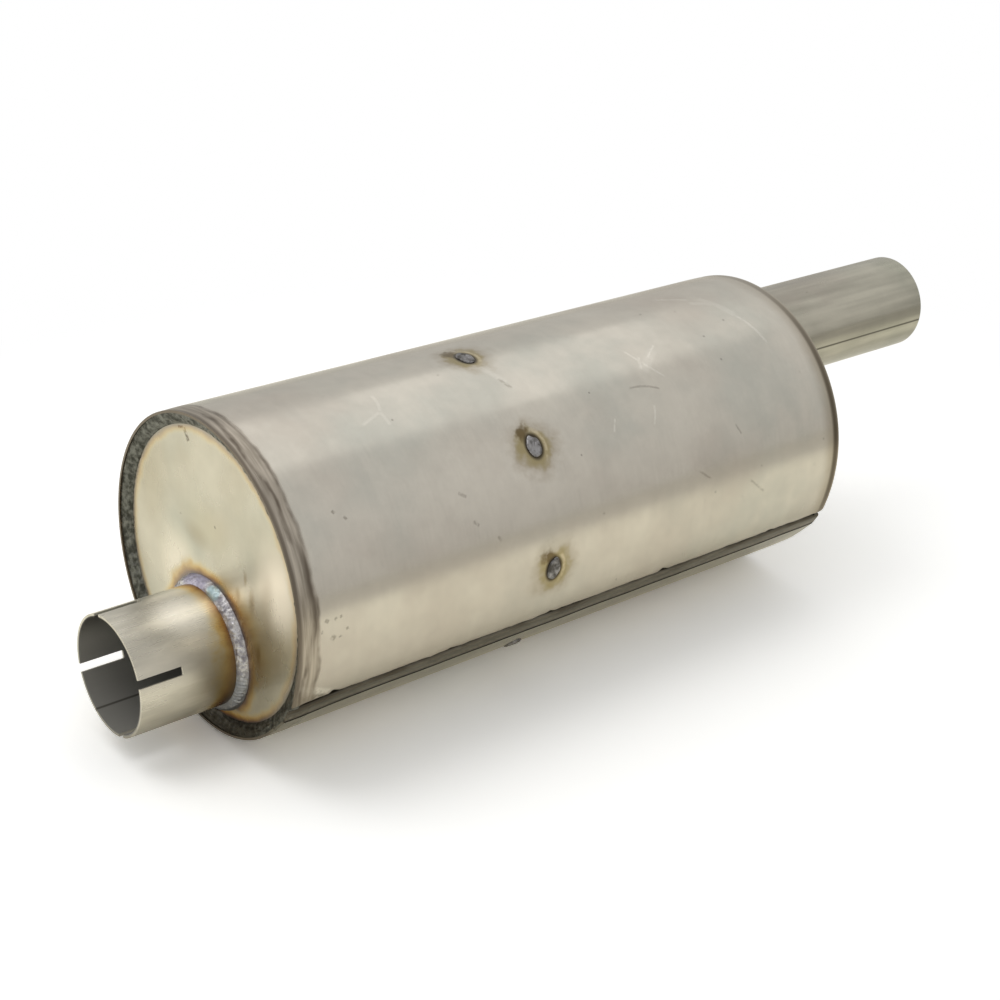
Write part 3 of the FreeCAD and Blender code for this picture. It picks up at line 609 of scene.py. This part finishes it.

    # Grime and painted shade: along the folded edge and all over the pressed strip, then painted shade in its
    # crease and fading out below.
    edge_film_and_shade, edge_shadow_and_grime = (0.3, 0.26, 0.2, 1), (0.14, 0.11, 0.07, 1)
    below_light, below_dark = (0.27, 0.255, 0.21, 1), (0.18, 0.17, 0.14, 1)
    strip_light, strip_dark = (0.27, 0.245, 0.2, 1), (0.11, 0.092, 0.065, 1)
    strip_root_shade, crease_shade = (0.055, 0.045, 0.032, 1), (0.04, 0.033, 0.025, 1)
    seam_at = math.radians(seam_degrees) * body_radius
    smear = fade(streaks_of(chart, (260, 40, 1), 3.0, 0.65), 0.3, 0.7, 0.55, 1.0)
    # Grime with painted shade on the sheet above the folded edge, where it turns down.
    film_and_shade = fade(around, seam_at - 14 * mm, seam_at, 0.0, 0.42)
    colour = tone(times(film_and_shade, smear), colour, edge_film_and_shade)
    # A painted shadow with grime at the folded edge.
    lip = fade(around, seam_at - 2.5 * mm, seam_at + 1 * mm, 0.0, 0.75)
    colour = tone(times(lip, smear), colour, edge_shadow_and_grime)
    # Painted shade below the crease, fading out.
    below = fade(around, crease_chart + 10 * mm, crease_chart + 34 * mm, 0.92, 0.0)
    colour = tone(below, colour, tone(smear, below_light, below_dark))
    # Grime with painted shade over the pressed strip, the painted shade darkest at its root.
    strip = fade(around, crease_chart - 0.6 * mm, crease_chart + 0.4 * mm, 0.85, 0.0)
    pressed = fade(minus(around, strip_chart), 1.2 * mm, 4.5 * mm)
    crumbs = fade(streaks_of(chart, (900, 380, 1), 3.0, 0.6), 0.4, 0.62)
    strip_grime_and_shade = tone(crumbs, strip_light, strip_dark)
    strip_grime_and_shade = tone(times(pressed, smear), strip_root_shade, strip_grime_and_shade)
    colour = tone(times(strip, smear), colour, strip_grime_and_shade)
    # Painted shade in the crease.
    crease = fade(apart(around, crease_chart - 0.4 * mm), 0.7 * mm, 2.6 * mm, 0.9, 0.0)
    crease = times(crease, fade(crumbs, 0.0, 1.0, 1.0, 0.6))
    colour = tone(crease, colour, crease_shade)
    roughness = calc("MULTIPLY_ADD", strip, 0.12, roughness)
    wear(shader, colour, roughness, height)
    return material


shell_skin = body_skin()
shell_skin.data.materials.append(body_material())
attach(shell_skin, "root")
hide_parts("shell")


# The end caps: pressed discs of the same sheet, set into the rims with their edges turned inwards, each with
# a collared hole for its pipe. Welding has tinted them cream all over and gold to brown along the beads.
inlet_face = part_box("inlet_end_cap")[0].x
outlet_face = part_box("outlet_end_cap")[1].x
inlet_pipe_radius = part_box("inlet_pipe")[1].y
outlet_pipe_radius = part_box("outlet_pipe")[1].y
inlet_pipe_height = 0.0
outlet_pipe_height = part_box("outlet_pipe")[1].z - outlet_pipe_radius
inner_radius = body_radius - sheet_wall
inlet_bead, outlet_bead = 4 * mm, 3 * mm
inlet_rim_leg, outlet_rim_leg = 6 * mm, 3.4 * mm


def radius_from(place, height):
    """Distance of a point from an axis along X at that height."""
    return length_of(stretched(place, (0, 1, 1), (0, 0, -height)))


def patched(colour, place, patches):
    """The colour with soft oval patches, and how far each place is made matt.

    A patch is a centre and half sizes in mm, a colour, a strength and whether the place is made matt: the
    pale matt patches are painted highlights.
    """
    matt_highlight = 0.0
    for centre, halves, paint, strength, matt in patches:
        scale = [1 / (half * mm) for half in halves]
        offset = [-middle / half for middle, half in zip(centre, halves)]
        away = length_of(stretched(place, scale, offset))
        mask = fade(away, 0.1, 1.0, strength, 0.0)
        colour = tone(mask, colour, paint)
        if matt:
            matt_highlight = larger(matt_highlight, mask)
    return colour, matt_highlight


def cap_material(name, pipe_radius, pipe_height, bead, rim_leg, patches=(), marks=()):
    material, shader, place = new_material(name)
    sheet = use(
        mill_finish, Place=place, Grain_Place=stretched(place, (300, 260, 60)), Gloss=0.27,
        Steel=(0.6, 0.575, 0.5, 1), Warm=(0.62, 0.575, 0.475, 1), Cold=(0.58, 0.585, 0.515, 1),
    )
    across, upright = put("ShaderNodeSeparateXYZ", {0: place}).outputs[1:]
    chart = put("ShaderNodeCombineXYZ", {0: across, 1: upright}).outputs[0]
    colour, matt_highlight = patched(sheet["Color"], place, patches)
    colour = scratched(colour, chart, marks)
    from_pipe = minus(radius_from(place, pipe_height), pipe_radius + bead * 0.9)
    at_pipe = use(heat_tint, Distance=from_pipe, Reach=9 * mm, Place=place, Steel=colour, Amount=0.8)
    from_rim = minus(inner_radius - rim_leg, radius_from(place, body_height))
    low = fade(upright, -28 * mm, 5 * mm, 0.95, 0.4)
    colour = use(
        heat_tint, Distance=from_rim, Reach=5.5 * mm, Place=place, Steel=at_pipe["Color"], Amount=low,
    )["Color"]
    roughness = calc("MULTIPLY_ADD", at_pipe["Share"], 0.05, sheet["Roughness"])
    # The pale patches, painted highlights, are made less metallic.
    metal = fade(matt_highlight, 0.0, 1.0, 1.0, 0.3) if patches else None
    wear(shader, colour, roughness, sheet["Height"], metal)
    return material


def dress(node, material):
    """Gives a piece that keeps its shape its own finish."""
    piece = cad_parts[node]
    piece.data.materials.clear()
    piece.data.materials.append(material)


brown_smudge = (0.3, 0.23, 0.13, 1)
dress("inlet_end_cap", cap_material(
    "inlet_cap_sheet", inlet_pipe_radius, inlet_pipe_height, inlet_bead, inlet_rim_leg,
    patches=(  # Two pale places made matt as painted highlights, two tinted ones, then smudges.
        ((50, -54, 55), (20, 24, 32), (0.98, 0.9, 0.76, 1), 1.0, True),
        ((50, 27, 26), (20, 22, 26), (0.95, 0.89, 0.75, 1), 0.95, True),
        ((50, 5, 58), (20, 26, 16), (0.56, 0.53, 0.4, 1), 0.4, False),
        ((50, 54, 66), (20, 24, 44), (0.42, 0.38, 0.28, 1), 0.5, False),
        ((50, -33, 39), (20, 3.6, 9), brown_smudge, 0.6, False),
        ((50, -22, 37), (20, 3, 6), brown_smudge, 0.6, False),
        ((50, -39.5, 15), (20, 2.6, 9), brown_smudge, 0.6, False),
        ((50, -27.5, 48), (20, 2, 5.5), brown_smudge, 0.6, False),
        ((50, 13, 50), (20, 15, 8), brown_smudge, 0.3, False),
        ((50, -45, 45), (20, 7.5, 20), brown_smudge, 0.3, False),
    ),
    marks=((dark_scratch, 0.85, (
        ((29.5, 97), (24.5, 98.8), 0, 0.9), ((24.5, 99), (20, 93.5), 0, 1.8),
        ((-2, 62), (-3, 61), 0, 0.7), ((26, 55), (26.8, 54), 0, 0.7),
    )),),
))
dress("outlet_end_cap", cap_material(
    "outlet_cap_sheet", outlet_pipe_radius, outlet_pipe_height, outlet_bead, outlet_rim_leg,
))


# The pipes: stainless tube with a straight weld line, cut square. The inlet is a socket with four saw slots
# in its mouth, and the outlet is a plain tail. Both are brushed along their length and tinted at their beads.
def pipe_material(name, radius, height, bead_end, side, reach, steel, warm, cold, gloss, metal, under, streak,
                  weld_degrees, patches=()):
    """The tube's finish. Heat tints it from bead_end towards side, and under is how bright its lower side is
    painted, as painted shade.

    streak is the drawn lines' waves a metre along and across, and their depth.
    """
    material, shader, place = new_material(name)
    sheet = use(
        mill_finish, Place=place, Grain_Place=stretched(place, (26, 560, 560)), Gloss=gloss,
        Steel=steel, Warm=warm, Cold=cold,
    )
    along, across, upright = put("ShaderNodeSeparateXYZ", {0: place}).outputs
    above = minus(upright, height)
    streak_along, streak_across, depth = streak
    drawn = streaks_of(place, (streak_along, streak_across, streak_across), 3.0, 0.6)
    # Painted shade darkens the lower side; the drawn streaks are the tube's own.
    under_shade_and_streaks = fade(above, -radius * 0.85, radius * 0.1, under, 1.0)
    under_shade_and_streaks = times(under_shade_and_streaks, fade(drawn, 0.34, 0.66, 1 - depth, 1 + 0.5 * depth))
    # The tint reaches further on the lower side, where its brown is partly painted reflection of the cap and
    # painted shade.
    lower_tint_shift = fade(above, -radius, radius * 0.5, -4 * mm, 2.2 * mm)
    distance = plus(calc("MULTIPLY_ADD", along, side, -side * bead_end), lower_tint_shift)
    tinted = use(
        heat_tint, Distance=distance, Reach=reach, Place=place, Amount=1.0,
        Steel=shaded(sheet["Color"], under_shade_and_streaks),
    )
    outside, matt_highlight = patched(tinted["Color"], place, patches)
    # Inside the bore the colour is painted shade: darkest at the top, lighter towards the bottom.
    bore_edge = radius - 1.2 * mm
    bore = fade(radius_from(place, height), bore_edge, bore_edge + 0.3 * mm, 1.0, 0.0)
    bore_shade = tone(fade(above, 0.0, radius * 0.7), (0.25, 0.245, 0.23, 1), (0.055, 0.052, 0.046, 1))
    colour = tone(bore, outside, bore_shade)
    turn = calc("ARCTAN2", times(across, -1.0), above)
    weld_line = apart(turn, math.radians(weld_degrees))
    weld_line = fade(weld_line, 0.25 * mm / radius, 0.8 * mm / radius, 0.85, 0.0)
    colour = tone(weld_line, colour, (0.06, 0.055, 0.045, 1))
    roughness = calc("MULTIPLY_ADD", bore, 0.35, sheet["Roughness"])
    wear(shader, colour, roughness, sheet["Height"], fade(larger(bore, matt_highlight), 0.0, 1.0, metal, 0.25))
    return material


dress("inlet_pipe", pipe_material(
    "inlet_tube", inlet_pipe_radius, inlet_pipe_height, bead_end=inlet_face - inlet_bead, side=-1,
    reach=14 * mm, steel=(0.64, 0.61, 0.535, 1), warm=(0.67, 0.63, 0.54, 1), cold=(0.58, 0.575, 0.495, 1),
    gloss=0.3, metal=0.6, under=0.5, streak=(22, 110, 0.13), weld_degrees=-154.5,
    patches=(  # A pale place made matt as a painted highlight, then two brown patches of painted shade and painted reflection of the cap.
        ((31, -8, 27), (20, 18, 16), (1.0, 0.96, 0.87, 1), 1.0, True),
        ((42, -26, 0), (24, 17, 28), (0.17, 0.125, 0.06, 1), 0.8, False),
        ((25, -20, -21), (22, 16, 14), (0.2, 0.175, 0.13, 1), 0.72, False),
    ),
))
dress("outlet_pipe", pipe_material(
    "outlet_tube", outlet_pipe_radius, outlet_pipe_height, bead_end=outlet_face + outlet_bead, side=1,
    reach=9 * mm, steel=(0.5, 0.48, 0.41, 1), warm=(0.55, 0.5, 0.44, 1), cold=(0.46, 0.46, 0.385, 1),
    gloss=0.22, metal=0.9, under=0.6, streak=(5, 70, 0.24), weld_degrees=93.5,
))


# The hidden inside: a flanged baffle plug-welded to the body, and two louvred tubes that cross the chambers.
# All three are plain sheet, unpolished, and darker in colour.
def inner_material():
    material, shader, place = new_material("inner_sheet")
    sheet = use(
        mill_finish, Place=place, Grain_Place=stretched(place, (30, 380, 380)), Gloss=0.36,
        Steel=(0.45, 0.44, 0.42, 1), Warm=(0.47, 0.44, 0.4, 1), Cold=(0.42, 0.43, 0.41, 1),
    )
    wear(shader, sheet["Color"], sheet["Roughness"], sheet["Height"])
    return material


inner_sheet = inner_material()
for hidden in ("baffle_plate", "inlet_inner_tube", "outlet_inner_tube"):
    dress(hidden, inner_sheet)


# The weld beads: filler metal laid by hand round each rim and each pipe, frozen in ripples, with a start and
# stop lump on the pipes' beads. The rim beads are dark and rough, the pipe beads bluish silver.
ripples_round = 95
ripple_rise = 0.18 * mm
grit_rise = 0.1 * mm
rim_shy = 0.8 * mm
toe_overlap = 0.2 * mm


def weld_material(name, dark, light, ripple_scale, tints=()):
    """Mottled filler metal. Each tint is a centre, a reach and the colour that the bead has there."""
    material, shader, place = new_material(name)
    coarse = speckle(place, ripple_scale, 3.0, 0.6)
    fine = speckle(place, 1500.0, 3.0, 0.65)
    colour = tone(fade(coarse, 0.35, 0.66), dark, light)
    colour = tone(fade(fine, 0.5, 0.72, 0.0, 0.45), colour, (0.09, 0.085, 0.08, 1))
    for centre, reach, tint in tints:
        away = put("ShaderNodeVectorMath", {0: place, 1: centre}, operation="DISTANCE").outputs["Value"]
        colour = tone(fade(away, reach * 0.6, reach, 0.8, 0.0), colour, tint)
    roughness = fade(coarse, 0.3, 0.7, 0.5, 0.32)
    height = calc("MULTIPLY_ADD", coarse, 0.3 * mm, times(fine, 0.16 * mm))
    wear(shader, colour, roughness, height)
    return material


def ring_bead(name, axis_z, toe_radius, toe_x, top_radius, top_x, buried, bulge, lumps, seed, start=None):
    """A bead round an axis along X: a bulged line from its inner toe to its outer toe, turned full circle.

    Each point is moved off that line by bulge times the half sine of its share, by ripples and by uneven
    lumps. Behind the line the section closes at a buried station, off the line's ends by two distances. Both
    radii are functions of the angle. start is the angle of the start and stop lump.
    """
    turn = np.linspace(0, 2 * math.pi, 420, endpoint=False)[:, None]
    share = np.linspace(0, 1, 15)[None, :]
    swell = np.sin(math.pi * share)
    size = 1 + 0.1 * uneven(turn, 0, seed, 2, 14)
    scaly = 1.0
    if start is not None:  # A lump, a crater beside it and a smooth stretch before it.
        away = (np.degrees(turn) - start + 180) % 360 - 180
        size = size + 0.9 * bump_at(away, 7) - 0.5 * bump_at(away - 11, 4) - 0.2 * bump_at(away + 28, 18)
        scaly = 1 - 0.9 * bump_at(away + 28, 22)
    reach_in, reach_out = toe_radius(turn), top_radius(turn)
    line_radius = reach_in + (reach_out - reach_in) * share
    line_x = toe_x + (top_x - toe_x) * share
    chevrons = np.cos(turn * ripples_round + 1.2 * swell + 2 * uneven(turn, share, seed + 1, 3, 20))
    lift = bulge * swell * size + ripple_rise * swell * chevrons * scaly
    lift = lift + grit_rise * np.sqrt(swell) * uneven(turn, share * 3, seed + 2, 20, 150)
    lift = lift + lumps * np.sqrt(swell) * uneven(turn, share * 2, seed + 4, 10, 45)
    slope = np.array([top_x - toe_x, float(np.mean(reach_out - reach_in))])
    side = np.array([-slope[1], slope[0]]) / np.linalg.norm(slope)
    side = side if side[0] * np.sign(buried[0] - toe_x) < 0 else -side
    x = line_x + lift * side[0]
    radius = line_radius + lift * side[1]
    corner = np.ones_like(turn)
    x = np.concatenate([x, corner * buried[0], corner * buried[0]], axis=1)
    radius = np.concatenate([radius, reach_out + buried[1], reach_in + buried[2]], axis=1)
    points = np.stack([x, -radius * np.sin(turn), axis_z + radius * np.cos(turn)], axis=-1)
    rows, columns = x.shape
    numbers = np.arange(rows * columns).reshape(rows, columns)
    numbers = np.concatenate([numbers, numbers[:1]])
    numbers = np.concatenate([numbers, numbers[:, :1]], axis=1)
    return new_piece(name, points.reshape(-1, 3), quads(numbers), 60)


def body_wall_radius(turn):
    """Distance from the body's axis to the inner face of its sheet, at each angle from the top."""
    seen = np.isin(stretch_number, (lead, round_part, flat_part, pressed_strip))
    inner = section[seen] - section_normals[seen] * sheet_wall / 2
    at = np.degrees(np.arctan2(-inner[:, 0], inner[:, 1])) % 360
    order = np.argsort(at)
    return np.interp(np.degrees(turn) % 360, at[order], np.linalg.norm(inner, axis=1)[order], period=360)


rim_weld_metal = weld_material("rim_weld_metal", (0.06, 0.062, 0.053, 1), (0.19, 0.195, 0.18, 1), 300.0, (
    ((50 * mm, -6 * mm, -44 * mm), 58 * mm, (0.03, 0.024, 0.015, 1)),
))
pipe_weld_metal = weld_material("pipe_weld_metal", (0.3, 0.29, 0.33, 1), (0.68, 0.67, 0.68, 1), 330.0, (
    ((49 * mm, 9.6 * mm, 29.5 * mm), 12 * mm, (0.4, 0.38, 0.5, 1)),
    ((48 * mm, -6 * mm, 31 * mm), 5 * mm, (0.42, 0.56, 0.6, 1)),
    ((49 * mm, -24 * mm, -20 * mm), 26 * mm, (0.3, 0.32, 0.36, 1)),
))


def steady(radius):
    """A radius that is the same at every angle."""
    return lambda turn: radius + 0 * turn


beads = (
    ("inlet_rim_weld", rim_weld_metal, ring_bead(
        "inlet_rim_bead", body_height,
        toe_radius=steady(inner_radius - inlet_rim_leg), toe_x=inlet_face,
        top_radius=body_wall_radius, top_x=body_start + rim_shy,
        buried=(inlet_face + 0.9 * mm, 0.5 * mm, 0.0), bulge=0.5 * mm, lumps=0.16 * mm, seed=21)),
    ("outlet_rim_weld", rim_weld_metal, ring_bead(
        "outlet_rim_bead", body_height,
        toe_radius=steady(inner_radius - outlet_rim_leg), toe_x=outlet_face,
        top_radius=body_wall_radius, top_x=body_end - rim_shy,
        buried=(outlet_face - 0.9 * mm, 0.5 * mm, 0.0), bulge=0.4 * mm, lumps=0.12 * mm, seed=31)),
    ("inlet_pipe_weld", pipe_weld_metal, ring_bead(
        "inlet_pipe_bead", inlet_pipe_height,
        toe_radius=steady(inlet_pipe_radius - toe_overlap), toe_x=inlet_face - inlet_bead,
        top_radius=steady(inlet_pipe_radius + inlet_bead), top_x=inlet_face,
        buried=(inlet_face + 0.8 * mm, 0.0, 0.0), bulge=0.8 * mm, lumps=0.1 * mm, seed=41, start=9.0)),
    ("outlet_pipe_weld", pipe_weld_metal, ring_bead(
        "outlet_pipe_bead", outlet_pipe_height,
        toe_radius=steady(outlet_pipe_radius - toe_overlap), toe_x=outlet_face + outlet_bead,
        top_radius=steady(outlet_pipe_radius + outlet_bead), top_x=outlet_face,
        buried=(outlet_face - 0.8 * mm, 0.0, 0.0), bulge=0.5 * mm, lumps=0.08 * mm, seed=51, start=200.0)),
)
for node, metal, bead in beads:
    bead.data.materials.append(metal)
    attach(bead, "root")
    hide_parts(node)


# The plug welds: eight nuggets of filler metal that fill oval holes of the body and hold the baffle's flange.
# Each stands a little proud, with a sunken middle, a frozen crack and a dark undercut edge.
plug_half_width = 4.35 * mm
plug_half_length = 6.25 * mm
plug_proud = 0.7 * mm
plug_buried = 1.1 * mm
crack_depth = 0.3 * mm


def nugget(number):
    """A low dome on an oval of the two half sizes, share being how far out a point lies.

    Its height is proud, times one less share to the fifth, times 0.62 plus 0.38 of share squared, which sinks
    the middle. It goes on down a short wall to a pole underneath.
    """
    seed = 60 + number
    turn = np.linspace(0, 2 * math.pi, 64, endpoint=False)[None, :]
    share = np.concatenate([np.linspace(0, 1, 17), [1.0, 0.0]])[:, None]
    wobble = np.random.default_rng(seed).uniform(0.82, 0.92) * (1 + 0.07 * uneven(turn, 0, seed, 1, 6))
    along = plug_half_width * share * np.cos(turn) * wobble
    around = plug_half_length * share * np.sin(turn) * wobble
    rise = plug_proud * (1 - share ** 5) * (0.62 + 0.38 * share ** 2)
    rise = rise + 0.07 * mm * uneven(turn, share * 4, seed + 9, 1, 9) * share * (1 - share)
    crack = bump_at(around * 0.35 + along - 0.4 * mm, 0.35 * mm) * bump_at(around + 1.5 * mm, 2.6 * mm)
    rise = rise - crack_depth * crack
    rise[-2:] = -plug_buried
    rise = np.minimum(rise, plug_proud)
    angle = np.radians(number * plug_spacing) + around / body_radius
    radius = body_radius + rise
    points = np.stack([
        plug_station + along, -radius * np.sin(angle), body_height + radius * np.cos(angle),
    ], axis=-1)
    rows, columns = points.shape[:2]
    numbers = np.arange(rows * columns).reshape(rows, columns)
    numbers[0], numbers[-1] = 0, (rows - 1) * columns
    numbers = np.concatenate([numbers, numbers[:, :1]], axis=1)
    return new_piece("plug_nugget_%d" % (number + 1), points.reshape(-1, 3), quads(numbers), 60)


plug_metal = weld_material("plug_metal", (0.09, 0.085, 0.08, 1), (0.36, 0.355, 0.37, 1), 240.0)
for number in range(360 // plug_spacing):
    plug = nugget(number)
    plug.data.materials.append(plug_metal)
    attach(plug, "root")
    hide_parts("plug_weld_%d" % (number + 1))


# The studio: a wide pale table under the part in a plain bright room, lit by a wide soft panel and a smaller
# lamp overhead and by a side window. The camera's view shows the part rolled a little, as it lay.
table_half = 6.0
table_height = cad_box[0][2]
table_corners = ((-1, -1), (1, -1), (1, 1), (-1, 1))
table_mesh = bpy.data.meshes.new("table")
table_mesh.from_pydata(
    [(x * table_half, y * table_half, table_height) for x, y in table_corners], [], [(0, 1, 2, 3)],
)
table = bpy.data.objects.new("table", table_mesh)
bpy.context.scene.collection.objects.link(table)


def table_material():
    """Diffuse for what it lights. Seen directly it fades to plain white away from the part; seen mirrored it
    has a painted pool of light.
    """
    material = bpy.data.materials.new("table_white")
    material.use_nodes = True
    tree = material.node_tree
    tree.nodes.clear()
    direct = tree.nodes.new("ShaderNodeLightPath").outputs["Is Camera Ray"]
    place = tree.nodes.new("ShaderNodeTexCoord").outputs["Object"]
    distance = length_of(stretched(place, (0.7, 1, 0), (-0.16, 0, 0)))
    # A painted pool of light for reflections: brighter than white near the part, greyer away from it.
    mirrored = tone(fade(distance, 0.34, 0.6), (1.14, 1.115, 0.99, 1), (0.74, 0.72, 0.67, 1))
    lit = put("ShaderNodeBsdfDiffuse", {"Color": tone(direct, mirrored, (1.36, 1.38, 1.42, 1))})
    white = put("ShaderNodeEmission", {"Color": (1, 1, 1, 1), "Strength": 1.0}, tree)
    share = times(fade(distance, 0.16, 0.42), direct)
    mixed = put("ShaderNodeMixShader", {0: share, 1: lit.outputs[0], 2: white.outputs[0]})
    put("ShaderNodeOutputMaterial", {0: mixed.outputs[0]})
    return material


table_mesh.materials.append(table_material())

world = bpy.data.worlds.new("room")
bpy.context.scene.world = world
world.use_nodes = True
room = world.node_tree
room.nodes.clear()
room_way = room.nodes.new("ShaderNodeTexCoord").outputs["Generated"]
room_rise = put("ShaderNodeSeparateXYZ", {0: room_way}).outputs[2]
room_tone = tone(fade(room_rise, -0.1, 0.75), (0.6, 0.585, 0.55, 1), (0.74, 0.73, 0.7, 1))
room_seen = tone(room.nodes.new("ShaderNodeLightPath").outputs["Is Camera Ray"], room_tone, (1, 1, 1, 1))
room_light = put("ShaderNodeBackground", {"Color": room_seen, "Strength": 1.0})
put("ShaderNodeOutputWorld", {0: room_light.outputs[0]})


def panel(name, location, facing, width, depth, brightness):
    """A soft rectangular lamp turned towards a point. Its power is brightness times pi times its area."""
    light = bpy.data.lights.new(name, "AREA")
    light.shape = "RECTANGLE"
    light.size, light.size_y = width, depth
    light.energy = brightness * math.pi * width * depth
    light.color = (1.0, 0.985, 0.95)
    lamp = bpy.data.objects.new(name, light)
    lamp.location = location
    lamp.rotation_euler = (Vector(facing) - Vector(location)).to_track_quat("-Z", "Y").to_euler()
    bpy.context.scene.collection.objects.link(lamp)


panel("overhead_panel", (0.15, 0.5, 1.15), facing=(0.15, 0.13, 0), width=2.7, depth=1.15, brightness=0.27)
panel("overhead_lamp", (-0.4, 0.26, 1.05), facing=(0.05, 0, 0.03), width=0.5, depth=0.55, brightness=1.9)
panel("side_window", (-0.7, 0.97, 0.17), facing=(0.05, 0, 0.05), width=0.8, depth=0.36, brightness=1.3)

camera_distance = 0.9302
camera_side = 0.0019
camera_drop = -0.0071
camera_azimuth = math.radians(-39.59)
camera_elevation = math.radians(22.63)
part_roll = math.radians(-8)
camera_data = bpy.data.cameras.new("camera")
camera_data.sensor_width = 36
camera_data.lens = 67.37
camera = bpy.data.objects.new("camera", camera_data)
bpy.context.scene.collection.objects.link(camera)
back = Vector((
    math.sin(camera_azimuth) * math.cos(camera_elevation),
    -math.cos(camera_azimuth) * math.cos(camera_elevation),
    math.sin(camera_elevation),
))
right = Vector((0, 0, 1)).cross(back).normalized()
up = back.cross(right)
stand = back * camera_distance + right * camera_side + up * camera_drop
pose = Matrix.Translation(stand) @ (-back).to_track_quat("-Z", "Y").to_matrix().to_4x4()
body_middle = Vector(((body_start + body_end) / 2, 0, body_height))
camera.matrix_world = Matrix.Translation(body_middle) @ Matrix.Rotation(part_roll, 4, "X") @ pose
bpy.context.scene.camera = camera

bpy.context.scene.view_settings.view_transform = "Standard"
bpy.context.view_layer.update()
